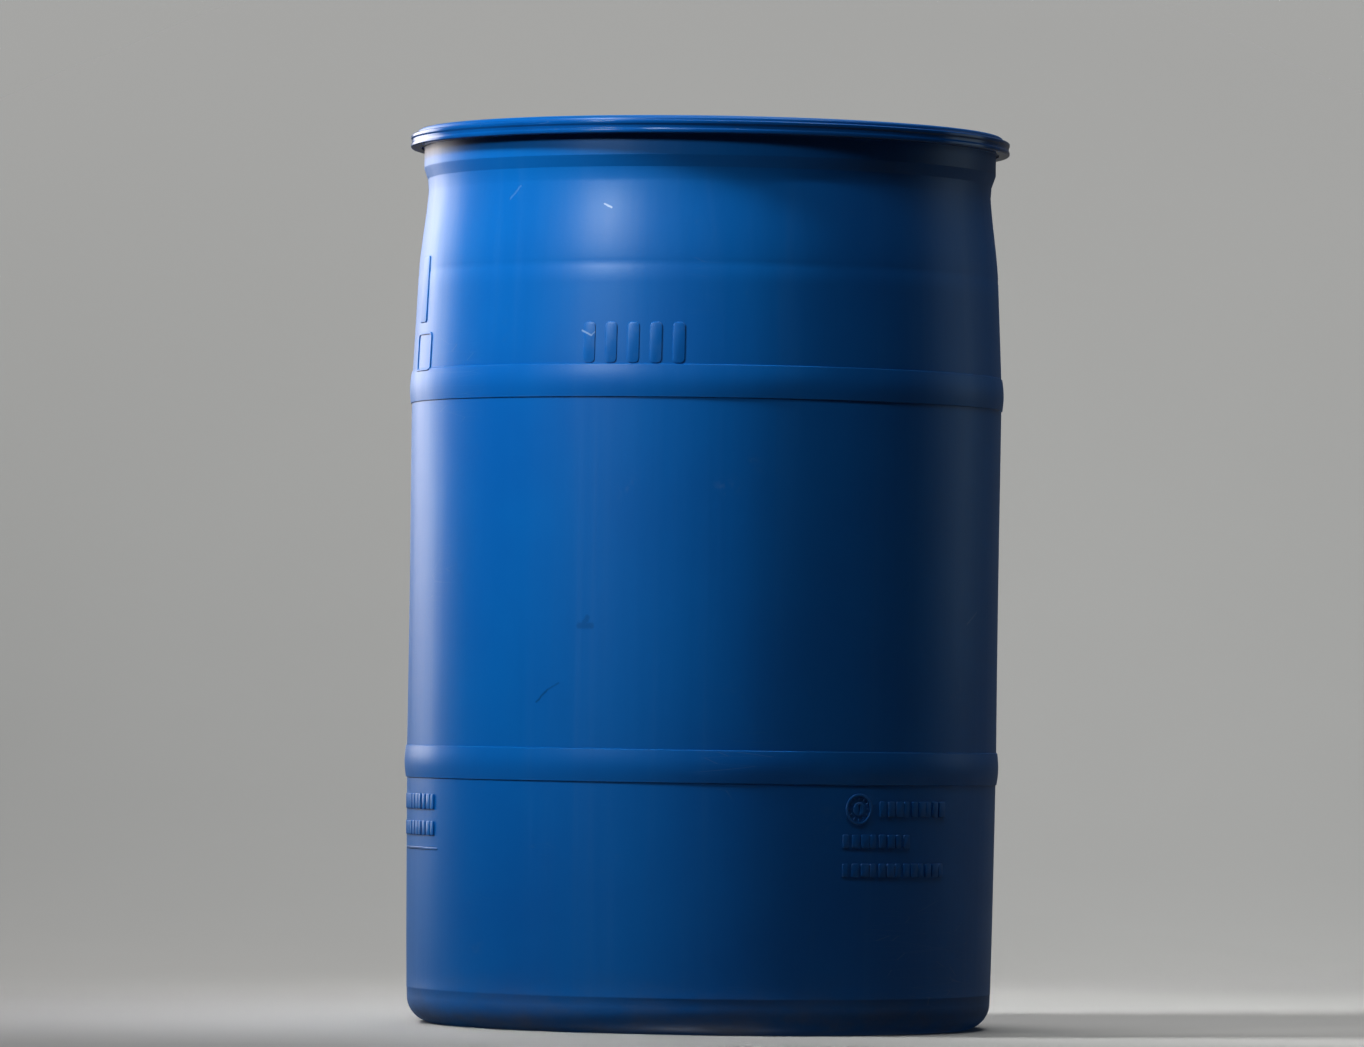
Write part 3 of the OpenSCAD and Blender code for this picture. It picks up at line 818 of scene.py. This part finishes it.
# ------------------------------------------------------------------ lid
PANEL_TOP, PANEL_LOW = TOP - 32.0, TOP - 35.5


def bore_tool(x, radius, segments=64):
    """A cylinder through the lid panel."""
    verts = [(px, py, z) for z in (PANEL_LOW - 5, PANEL_TOP + 5)
             for px, py in circle(x, 0, radius, segments)]
    n = segments
    faces = [(i, (i + 1) % n, n + (i + 1) % n, n + i) for i in range(n)]
    faces += [tuple(reversed(range(n))), tuple(range(n, 2 * n))]
    return build("tool", verts, faces, LID_PLASTIC)


def lid_shell():
    top = PANEL_TOP
    # panel with a low ring near the middle
    section = [(0.0, top), (30.0, top), (58.5, top), (60.2, top + 3.6), (60.9, top + 4.6),
               (62, top + 5), (63.1, top + 4.6), (63.8, top + 3.6), (65.6, top),
               (160.0, top), (230.0, top), (RIM - 29, top)]
    # up the well and over the rim
    section += arc(RIM - 29, top + 5, 5, -84, -12, 8)
    section += from_rim((-20.5, -12), (-20.5, -3)) + arc(RIM - 17.5, TOP - 3, 3, 174, 90, 7)
    section += from_rim((-13.5, -0.25), (-12.0, -0.25)) + arc(RIM - 10, TOP - 4, 4, 90, 0, 8)
    # skirt and gasket groove
    skirt = from_rim((-6, -4), (-6, -6.5), (-2.7, -6.5), (-2.7, -10), (-9.5, -10),
                     (-9.5, -3.5), (-16.5, -3.5), (-16.5, -14))
    section += fillet(skirt, 0.7, closed=False)[1:]
    # underside
    section += arc(RIM - 29, PANEL_LOW + 8, 8.4, -12, -90, 8)
    section += [(r, PANEL_LOW) for r in (230, 160, 40.0, 0.0)]
    lid = revolve("lid_shell", section, LID_PLASTIC, 300, closed=False, sharp=34)
    cut(lid, bore_tool(-BUNG_X, LARGE_BORE), sharp=34)
    cut(lid, bore_tool(BUNG_X, SMALL_BORE), sharp=34)
    return lid


def bung_boss(x, top, radius, bore):
    """A boss round a bung hole with eight gussets."""
    low = PANEL_TOP - 1
    boss = [(bore, low), (radius + 3.0, low), (radius + 3.0, PANEL_TOP - 0.05),
            (radius, PANEL_TOP + 2.6), (radius, top), (bore, top)]
    parts = [revolve("boss", fillet(boss, 1.1, 4), LID_PLASTIC, 96, centre=(x, 0))]
    gusset = fillet([(radius - 1.0, low), (radius + 13.0, low),
                     (radius + 13.0, PANEL_TOP + 0.2),
                     (radius - 1.0, PANEL_TOP + (top - PANEL_TOP) * 0.72)], 0.8)
    for i in range(8):
        parts.append(plate("gusset", gusset, [], -1.1, 1.1, LID_PLASTIC, 0.4,
                           upright(math.radians(22.5 + 45 * i), x)))
    return parts


def lid_ribs():
    """Radial ribs on the panel, left out where the bungs stand."""
    near, far = 62.5, RIM - 27.5
    low, high = PANEL_TOP - 1, PANEL_TOP + 5.0
    rib = fillet([(near, low), (far, low), (far, high), (far - 16, high), (near + 6, high),
                  (near, high - 1)], 1.2)
    return [plate("rib", rib, [], -1.5, 1.5, LID_PLASTIC, 0.55,
                  upright(math.radians(i * 22.5))) for i in range(16) if i % 8]


lid = lid_shell()
lid_features = join("lid_ribs_and_bosses",
                    bung_boss(-BUNG_X, LARGE_BOSS_TOP, 39.0, LARGE_BORE)
                    + bung_boss(BUNG_X, SMALL_BOSS_TOP, 21.5, SMALL_BORE) + lid_ribs())
hand_over(lid, "lid", "lid_plastic", "lid")
hand_over(lid_features, "lid", "lid_plastic")

gasket_profile = from_rim((-16.1, -7.95), (-9.9, -7.95), (-9.9, -3.55), (-16.1, -3.55))
gasket = revolve("lid_gasket_ring", fillet(gasket_profile, 1.4, 4), SEAL_RUBBER, 240)
hand_over(gasket, "lid", "seal_rubber", "lid_gasket")


# ------------------------------------------------------------------ bungs
def bung_thread(x, base, root, crest, depth, pitch):
    """A rounded ridge wound round the shank, fading out at both ends."""
    foot = root - 0.3
    # radius, height from the middle of the ridge
    ridge = [(foot, -pitch * 0.34), (root + 0.5, -pitch * 0.24), (crest, -pitch * 0.10),
             (crest, pitch * 0.10), (root + 0.5, pitch * 0.24), (foot, pitch * 0.34)]
    turns = (depth - 2.2) / pitch
    steps = int(turns * 64)
    verts = []
    for i in range(steps + 1):
        t = i / steps
        angle = 2 * math.pi * turns * t
        fade = min(1.0, t * turns * 3, (1 - t) * turns * 3)
        middle = base - depth + 1.6 + (depth - 3.0) * t
        for r, rise in ridge:
            r = foot + (r - foot) * (0.15 + 0.85 * fade)
            verts.append((x + r * math.cos(angle), r * math.sin(angle), middle + rise))
    return build("thread", verts, skin_faces(steps + 1, len(ridge)), BUNG_PLASTIC, sharp=50)


def bung(name, node, x, base, head_radius, head_height, shank_radius, depth, cup_radius,
         cup_depth, pitch, lugs):
    """A threaded plug with a crossed cup in its head. base is the underside of the head."""
    root = shank_radius - 1.25
    crown = base + head_height + 1.0
    floor = crown - cup_depth
    tip = base - depth
    cup = [(0, floor), (cup_radius - 1.5, floor)]
    cup += arc(cup_radius - 1.5, floor + 1.5, 1.5, -90, 0, 4)[1:]
    outside = [(cup_radius, crown), (head_radius - 1.0, crown), (head_radius, crown - 1.0),
               (head_radius, base), (root, base), (root, tip + 1.0), (root - 1.2, tip), (0, tip)]
    profile = cup + fillet(outside, 0.7, closed=False)
    parts = [revolve("plug", profile, BUNG_PLASTIC, 96, centre=(x, 0), closed=False),
             bung_thread(x, base, root, shank_radius - 0.1, depth, pitch)]
    bar_height = cup_depth - 3.6
    bar = rounded_rect(2 * cup_radius + 0.6, bar_height, 1.2, 3, y=floor + bar_height / 2)
    for angle in (0, 90):
        parts.append(plate("bar", bar, [], -2.4, 2.4, BUNG_PLASTIC, 0.5,
                           upright(math.radians(angle), x)))
    # grip marks on the head
    lug = rounded_rect((head_radius - cup_radius) * 0.52, 2.6, 1.1, 4,
                       x=(head_radius + cup_radius) / 2 + 0.6)
    for i in range(lugs):
        parts.append(plate("lug", lug, [], crown - 0.6, crown + 0.7, BUNG_PLASTIC, 0.5,
                           flat(2 * math.pi * (i + 0.5) / lugs, (x, 0)), sharp=60,
                           bottom=False))
    hand_over(join(name, parts), node, "bung_plastic", node)


def bung_seal(name, body, node, x, boss_top, inner, outer, thickness, corner, segments):
    low = boss_top + 0.03
    high = low + thickness
    profile = fillet([(inner, low), (outer, low), (outer, high), (inner, high)], corner, 4)
    ring = revolve(name, profile, SEAL_RUBBER, segments, centre=(x, 0))
    hand_over(ring, body, "seal_rubber", node)


bung("large_bung_plug", "large_bung", x=-BUNG_X, base=LARGE_BOSS_TOP + 2.05,
     head_radius=35.4, head_height=3.6, shank_radius=29.4, depth=15.0,
     cup_radius=24.0, cup_depth=15.6, pitch=2.2087, lugs=16)
bung("small_bung_plug", "small_bung", x=BUNG_X, base=SMALL_BOSS_TOP + 1.65,
     head_radius=17.9, head_height=2.8, shank_radius=13.2, depth=12.2,
     cup_radius=9.0, cup_depth=8.5, pitch=1.8143, lugs=10)
bung_seal("large_bung_seal_ring", "large_bung_seal", "large_bung_gasket", -BUNG_X,
          LARGE_BOSS_TOP, inner=30.2, outer=34.5, thickness=1.98, corner=0.8, segments=96)
bung_seal("small_bung_seal_ring", "small_bung_seal", "small_bung_gasket", BUNG_X,
          SMALL_BOSS_TOP, inner=14, outer=17.5, thickness=1.58, corner=0.6, segments=72)

# ------------------------------------------------------------------ clamp ring
RING_GAP = 1.2      # degrees from +Y to each end of the band
BAND = from_rim(
    # outside, downwards
    (-5.3, -4.9), (-1.0, -4.9), (0, -5.9), (0, -8.2), (-0.9, -9.9), (-0.9, -12.6),
    (0, -14.3), (0, -16.6), (-1.0, -17.6), (-10.5, -17.6),
    # inside, upwards
    (-10.5, -16.4), (-1.8, -16.4), (-1.3, -15.9), (-1.3, -14.1), (-2.15, -12.4),
    (-2.15, -10.1), (-1.3, -8.4), (-1.3, -6.6), (-1.8, -6.1), (-5.3, -6.1))
ring = revolve("clamp_ring_band", fillet(BAND, 0.9, 4), RING_PAINT, 420,
               start=90 + RING_GAP, end=450 - RING_GAP, sharp=40)
hand_over(ring, None, "ring_paint", "ring_band_right", "ring_band_left")
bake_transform(ring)


# ------------------------------------------------------------------ latch: rivets, brackets, pins
# latch angles are in degrees from the back (+Y) towards +X
def at(angle, radius):
    return (radius * math.sin(math.radians(angle)), radius * math.cos(math.radians(angle)))


def rivet(angle):
    """A domed head on the bracket foot, with a shank through foot and band."""
    profile = [(0, 1.55), (0.8, 1.5), (1.6, 1.28), (2.4, 0.86), (2.9, 0.45), (3.1, 0.1),
               (3.05, 0.0), (1.66, 0.0), (1.66, -3.6), (1.4, -3.7), (0, -3.7)]
    ob = revolve("rivet", profile, PIN_STEEL, 40, closed=False, sharp=45)
    # the profile's z becomes the outward normal
    outward = Vector((*at(angle, 1), 0))
    upward = Vector((0, 0, 1))
    turn = Matrix((upward.cross(outward), upward, outward)).transposed().to_4x4()
    turn.translation = Vector((*at(angle, RIM + 1.6), LATCH_Z)) * MM
    ob.data.transform(turn)
    return ob


def foot_plate(start, end, half_height):
    """A curved foot that lies on the band between two angles."""
    middle = math.radians((start + end) / 2)

    def place(x, z, height):
        angle = middle + x / RIM
        radius = RIM + height
        return (radius * math.sin(angle), radius * math.cos(angle), LATCH_Z + z)

    outline = rounded_rect(math.radians(end - start) * RIM, 2 * half_height, 2.2, 5)
    return plate("foot", dense(outline, 3.0), [], 0.05, 1.55, ZINC, 0.4, place)


def bracket(name, pivot, start, end, ear_radius, hole_radius):
    """A foot on the band with an ear above and below, round a pivot."""
    base = RIM + 0.6
    right, left = pivot[0] + ear_radius, pivot[0] - ear_radius
    ear = [(right, math.sqrt(base ** 2 - right ** 2))]
    ear += arc(*pivot, ear_radius, 0, 180, 22)
    ear += [(left, math.sqrt(base ** 2 - left ** 2))]
    parts = [foot_plate(start, end, 6.2)]
    for low in (-6.25, 4.3):
        parts.append(plate("ear", ear, [circle(*pivot, hole_radius, 28)],
                           LATCH_Z + low, LATCH_Z + low + 1.95, ZINC, 0.35))
    return join(name, parts)


def pin(name, centre, radius, half_length, head):
    """An upright pin, with a flat head of radius head at both ends unless head is 0."""
    # end shape: radius, distance in from the end
    if head:
        end = [(0, 0), (head * 0.7, 0.02), (head * 0.94, 0.18), (head, 0.42),
               (head * 0.97, 0.7), (radius, 0.7)]
    else:
        end = [(0, 0), (radius - 0.5, 0), (radius, 0.4)]
    profile = [(r, LATCH_Z - half_length + inset) for r, inset in end]
    profile += [(r, LATCH_Z + half_length - inset) for r, inset in reversed(end)]
    return revolve(name, profile, PIN_STEEL, 40, centre=centre, closed=False, sharp=35)


lever_rivets = join("lever_bracket_rivet_heads", [rivet(angle) for angle in (6.2, 9.2)])
link_rivets = join("link_bracket_rivet_heads", [rivet(angle) for angle in (-5.3, -11.4)])
hand_over(lever_rivets, "ring_right", "pin_steel", "lever_bracket_rivets")
hand_over(link_rivets, "ring_left", "pin_steel", "link_bracket_rivets")

hand_over(bracket("lever_bracket_pressing", LEVER_PIVOT, 1.6, 10.6, 5.4, 3.02),
          "ring_right", "zinc_steel", "lever_bracket")
hand_over(bracket("link_bracket_pressing", LINK_ANCHOR, -13.0, -3.6, 5.8, 3.52),
          "ring_left", "zinc_steel", "link_bracket")

# pins: name, centre, radius, half length, head radius, moving body, CAD node
for name, centre, radius, half_length, head, body, node in (
        ("lever_pivot_rivet", LEVER_PIVOT, 3.0, 8.38, 0, "ring_right", "lever_pivot_pin"),
        ("link_anchor_rivet", LINK_ANCHOR, 3.5, 11.2, 5.2, "ring_left", "link_anchor_pin"),
        ("link_pivot_rivet", LINK_PIVOT, 3.0, 11.2, 4.6, "lever", "link_pivot_pin")):
    hand_over(pin(name, centre, radius, half_length, head), body, "pin_steel", node)

# ------------------------------------------------------------------ seal lug
LUG_ANGLE = 29.0


def seal_lug():
    """A holed tongue that stands out from the band through the lever's slot."""
    hole_r = RIM + 21.5
    outline = [(-5, RIM + 0.8), (5, RIM + 0.8)] + arc(0, hole_r, 5.0, 0, 180, 18)
    tongue = plate("lug", outline, [circle(0, hole_r, 3.25, 32)], -1.0, 1.0, ZINC, 0.25,
                   flat(math.radians(-LUG_ANGLE), z=LATCH_Z))
    return join("seal_lug", [tongue, foot_plate(LUG_ANGLE - 1.9, LUG_ANGLE + 1.9, 6.0)])


hand_over(seal_lug(), "ring_right", "zinc_steel", "seal_staple")

# ------------------------------------------------------------------ lever
LEVER_IN, LEVER_OUT = RIM + 3.0, RIM + 17.8      # radii
LEVER_START = math.degrees(math.atan2(*LEVER_PIVOT))
LEVER_END = 31.0
LEVER_HALF = 8.4                                 # half height
LEVER_SHEET = 1.6                                # metal thickness


def lever_flange():
    """Outline: outer arc back from the tip, round the pivot, inner arc out again."""
    steps, sweep = 40, LEVER_END - LEVER_START
    outer = LEVER_OUT - 0.45
    points = [at(LEVER_END - sweep * i / steps, outer) for i in range(steps + 1)]
    half = (outer - LEVER_IN) / 2
    x, y = at(LEVER_START, (outer + LEVER_IN) / 2)
    outward = math.degrees(math.atan2(y, x))
    points += arc(x, y, half, outward, outward + 180, 16)[1:-1]
    points += [at(LEVER_START + (sweep - 0.8) * i / steps, LEVER_IN) for i in range(steps + 1)]
    return points + [at(LEVER_END - 0.2, LEVER_IN + 1.2), at(LEVER_END, LEVER_IN + 4.0)]


def web_radius(z, along):
    """Outer face of the web: rounded long edges and a pressed groove along the middle."""
    depth, rounding = LEVER_HALF - abs(z), 0.0
    if depth < 1.8:
        rounding = 1.5 * (1 - math.sqrt(max(0, 1 - (1 - depth / 1.8) ** 2)))
    groove = 0.0
    if abs(z) < 4.1:
        ends = unit((along - 0.12) / 0.05) * unit((0.80 - along) / 0.05)
        side = 1 if abs(z) <= 2.5 else max(0, 1 - (abs(z) - 2.4) / 1.7)
        groove = 1.1 * ends * side
    return LEVER_OUT - rounding - groove


def lever_web():
    """The outer strip of the lever, bent round the ring."""
    start, end, rows = LEVER_START + 1.4, LEVER_END + 1.2, 60
    half = LEVER_HALF
    heights = [-half, -half + 0.25, -half + 0.8, -half + 1.8, -5.0, -4.0, -3.2, -2.4,
               2.4, 3.2, 4.0, 5.0, half - 1.8, half - 0.8, half - 0.25, half]
    verts = []
    for i in range(rows + 1):
        along = i / rows
        section = [(web_radius(z, along), z) for z in heights]
        for z in reversed(heights):
            inside = web_radius(z, along) - LEVER_SHEET
            if abs(z) >= half - 0.3:
                inside = LEVER_OUT - 1.5 - LEVER_SHEET * 0.6
            section.append((inside, z))
        angle = start + (end - start) * along
        verts += [(*at(angle, r), LATCH_Z + z) for r, z in section]
    size = 2 * len(heights)
    faces = skin_faces(rows + 1, size, closed=True) + end_caps(rows + 1, size)
    return build("web", verts, faces, ZINC, sharp=40)


def lever():
    """Web with a slot for the seal lug, a rolled lip at the tip, and two flanges."""
    web = lever_web()
    low, high = LUG_ANGLE - 1.3, LUG_ANGLE + 2.0
    slot = [at(low, LEVER_OUT + 4), at(high, LEVER_OUT + 4),
            at(high, LEVER_OUT - 5), at(low, LEVER_OUT - 5)]
    cut(web, plate("slot", slot, [], LATCH_Z - 2, LATCH_Z + 2, ZINC, 0.01), sharp=40)
    lip = [(0, -8.0), (1.6, -8.0), (2.2, -7.4), (2.2, 7.4), (1.6, 8.0), (0, 8.0)]
    parts = [web, revolve("lip", [(r, LATCH_Z + z) for r, z in lip], ZINC, 28,
                          centre=at(LEVER_END + 1.6, LEVER_OUT + 0.4), closed=False)]
    holes = [circle(*LEVER_PIVOT, 3.05, 28), circle(*LINK_PIVOT, 3.02, 28)]
    for z in (-LEVER_HALF, LEVER_HALF - LEVER_SHEET):
        parts.append(plate("flange", lever_flange(), holes, LATCH_Z + z,
                           LATCH_Z + z + LEVER_SHEET, ZINC, 0.3))
    return join("lever_handle", parts)


hand_over(lever(), "lever", "zinc_steel", "lever")


# ------------------------------------------------------------------ toggle link
def toggle_link():
    """Two arms and a web from the link pivot; their hooks go round the anchor pin.
    x runs from the anchor to the pivot."""
    length = math.dist(LINK_ANCHOR, LINK_PIVOT)
    angle = math.atan2(LINK_PIVOT[1] - LINK_ANCHOR[1], LINK_PIVOT[0] - LINK_ANCHOR[0])
    place = flat(angle, LINK_ANCHOR, LATCH_Z)
    hook, mouth = 8, 3.61     # outer and inner radius of the hook
    arm = arc(length, 0, 6.3, -90, 90, 20)
    arm += [(36, 6.3), (33.5, 8.4), (33, 8.75), (-3, 8.75)]
    arm += arc(0, 0, hook, 110, 191, 9) + [(-7.5, -2.8)]
    arm += arc(0, 0, mouth, 136, 0, 17) + [(mouth, -7.14)]
    arm += arc(0, 0, hook, -60, -52, 2)
    parts = [plate("arm", arm, [circle(length, 0, 3.05, 28)], z, z + 1.7, ZINC, 0.3, place)
             for z in (-10.4, 8.7)]
    parts.append(plate("linkweb", rounded_rect(36, 20.8, 1.0, 3, x=14),
                       [rounded_rect(16, 6, 2.9, 5, x=14)], 6.9, 8.75, ZINC, 0.3,
                       lambda x, y, z: place(x, z, y)))
    return join("toggle_link_pressing", parts)


hand_over(toggle_link(), "link", "zinc_steel", "toggle_link")


# ------------------------------------------------------------------ floor and backdrop
def floor_material():
    base = (0.44, 0.44, 0.43)
    mat = Shader("pale_floor")
    cloud = mat.noise(scale=0.8, detail=5, rough=0.6)
    fine = mat.noise(scale=60.0, detail=4, rough=0.6)
    color = mat.mix(mat.smooth(cloud, start=0.3, end=0.7), base, shade(base, gain=0.965))
    color = mat.mix(fine, color, shade(base, gain=0.8), amount=0.04)
    # the set looks pale, but throws little of its light back on the drum
    direct = mat.node("LightPath").outputs["Is Camera Ray"]
    color = mat.mix(direct, shade(base, gain=0.30), color)
    surface = mat.principled(color, 0.8, mat.bumps((fine, 0.05, 0.001)))
    # its faces point out of the set, so from outside it is clear
    inside = mat.geometry("Backfacing")
    # far from the drum the camera sees it fade into the world's colour
    distance = mat.vector("LENGTH", mat.geometry("Position"), output="Value")
    fading = mat.multiply(mat.smooth(distance, start=2.2, end=4.2), direct)
    opaque = mat.multiply(inside, mat.subtract(1.0, fading))
    clear = mat.node("BsdfTransparent").outputs[0]
    return mat.finish(mat.node("MixShader", {0: opaque, 1: clear, 2: surface}).outputs[0])


def studio_floor():
    """A floor that sweeps up into a backdrop behind the drum."""
    half_width, sweep = 7000, 1500
    # (y, z) from front to back
    profile = [(y, 0) for y in (-14000, -6000, -2000, 0, sweep)]
    profile += arc(sweep, sweep, sweep, -84, 0, 14) + [(2 * sweep, 5200)]
    verts = [(x, y, z) for x in (-half_width, half_width) for y, z in profile]
    return build("studio_floor", verts, skin_faces(2, len(profile)), floor_material(), sharp=60)


floor = studio_floor()
floor.visible_shadow = False      # or it would block the light under the base


# ------------------------------------------------------------------ lights
def softbox(name, location, size, power, target, color=(1, 1, 1), glossy=True, spread=180):
    """An area light aimed at target; power in watts, spread in degrees."""
    light = bpy.data.lights.new(name, "AREA")
    light.shape = "RECTANGLE"
    light.size, light.size_y = size
    light.energy = power
    light.color = color
    light.spread = math.radians(spread)
    ob = bpy.data.objects.new(name, light)
    scene.collection.objects.link(ob)
    ob.location = location
    aim = Vector(target) - Vector(location)
    ob.rotation_euler = aim.to_track_quat("-Z", "Y").to_euler()
    ob.visible_camera = False
    ob.visible_glossy = glossy


def around(angle, z, distance=3.0):
    """A place at distance from the axis, angle degrees from the front towards +X."""
    return (distance * math.sin(math.radians(angle)), -distance * math.cos(math.radians(angle)),
            z)


# the first two are narrow and aimed high, so their light falls off towards the floor
softbox("key_front_left", around(-42, z=2.05), size=(0.5, 0.5), power=2.0,
        target=(0, 0, 0.74), color=(1.0, 0.985, 0.96), spread=40)
softbox("side_left", around(-69, z=3.4), size=(0.75, 0.75), power=8.2,
        target=(0, 0, 0.74), glossy=False, spread=33)
softbox("rim_back_left", around(-143, z=1.15), size=(2.1, 1.8), power=5.8,
        target=(0, 0, 0.62), color=(1.0, 0.92, 0.88), spread=60)
softbox("top_strip", (0.3, -1.1, 2.9), size=(2.4, 0.10), power=17, target=(0, -0.3, 0.85))
softbox("top", (0.3, 0.9, 3.2), size=(2.0, 2.0), power=8, target=(0, 0, 0.9))
softbox("backdrop", (0.0, 1.3, 3.6), size=(4.0, 0.8), power=80, target=(0, 3.0, 0.9),
        glossy=False)
softbox("far_right", around(112, z=1.1), size=(1.3, 1.6), power=3,
        target=(0, 0, 0.45), color=(0.80, 0.95, 1.0))
softbox("back_fill", (0.3, 2.3, 2.2), size=(1.2, 0.9), power=9, target=(0, 0, 0.6),
        glossy=False)
softbox("under_fill", (0, 0, -1.3), size=(0.1, 0.1), power=0.35, target=(0, 0, 0), spread=26)


# ------------------------------------------------------------------ world
def studio_world():
    """The drum gets a faint cool light; the camera sees a pale backdrop colour."""
    world = bpy.data.worlds.new("studio_world")
    scene.world = world
    world.use_nodes = True
    nodes, links = world.node_tree.nodes, world.node_tree.links
    light = nodes["Background"]
    light.inputs["Color"].default_value = (0.72, 0.76, 0.82, 1)
    light.inputs["Strength"].default_value = 0.02
    seen = nodes.new("ShaderNodeBackground")
    seen.inputs["Color"].default_value = (0.40, 0.40, 0.39, 1)
    ray = nodes.new("ShaderNodeLightPath")
    pick = nodes.new("ShaderNodeMixShader")
    links.new(ray.outputs["Is Camera Ray"], pick.inputs[0])
    links.new(light.outputs[0], pick.inputs[1])
    links.new(seen.outputs[0], pick.inputs[2])
    links.new(pick.outputs[0], nodes["World Output"].inputs[0])


studio_world()


# ------------------------------------------------------------------ camera
def studio_camera():
    """A long lens in front of the drum, near level."""
    data = bpy.data.cameras.new("camera")
    camera = bpy.data.objects.new("camera", data)
    scene.collection.objects.link(camera)
    data.sensor_width = 36.0
    data.lens = 228.5
    data.clip_start, data.clip_end = 0.1, 60
    camera.location = (0.0, -8.6, 0.31)
    pitch, yaw, roll = math.radians(1.249), math.radians(0.152), math.radians(0.83)
    camera.rotation_mode = "XYZ"
    look = (Matrix.Rotation(yaw, 3, "Z") @ Matrix.Rotation(math.pi / 2 + pitch, 3, "X")
            @ Matrix.Rotation(roll, 3, "Z"))
    camera.rotation_euler = look.to_euler()
    scene.camera = camera


studio_camera()
scene.view_settings.view_transform = "Standard"
scene.view_settings.look = "Medium High Contrast"
scene.view_settings.exposure = 0.0
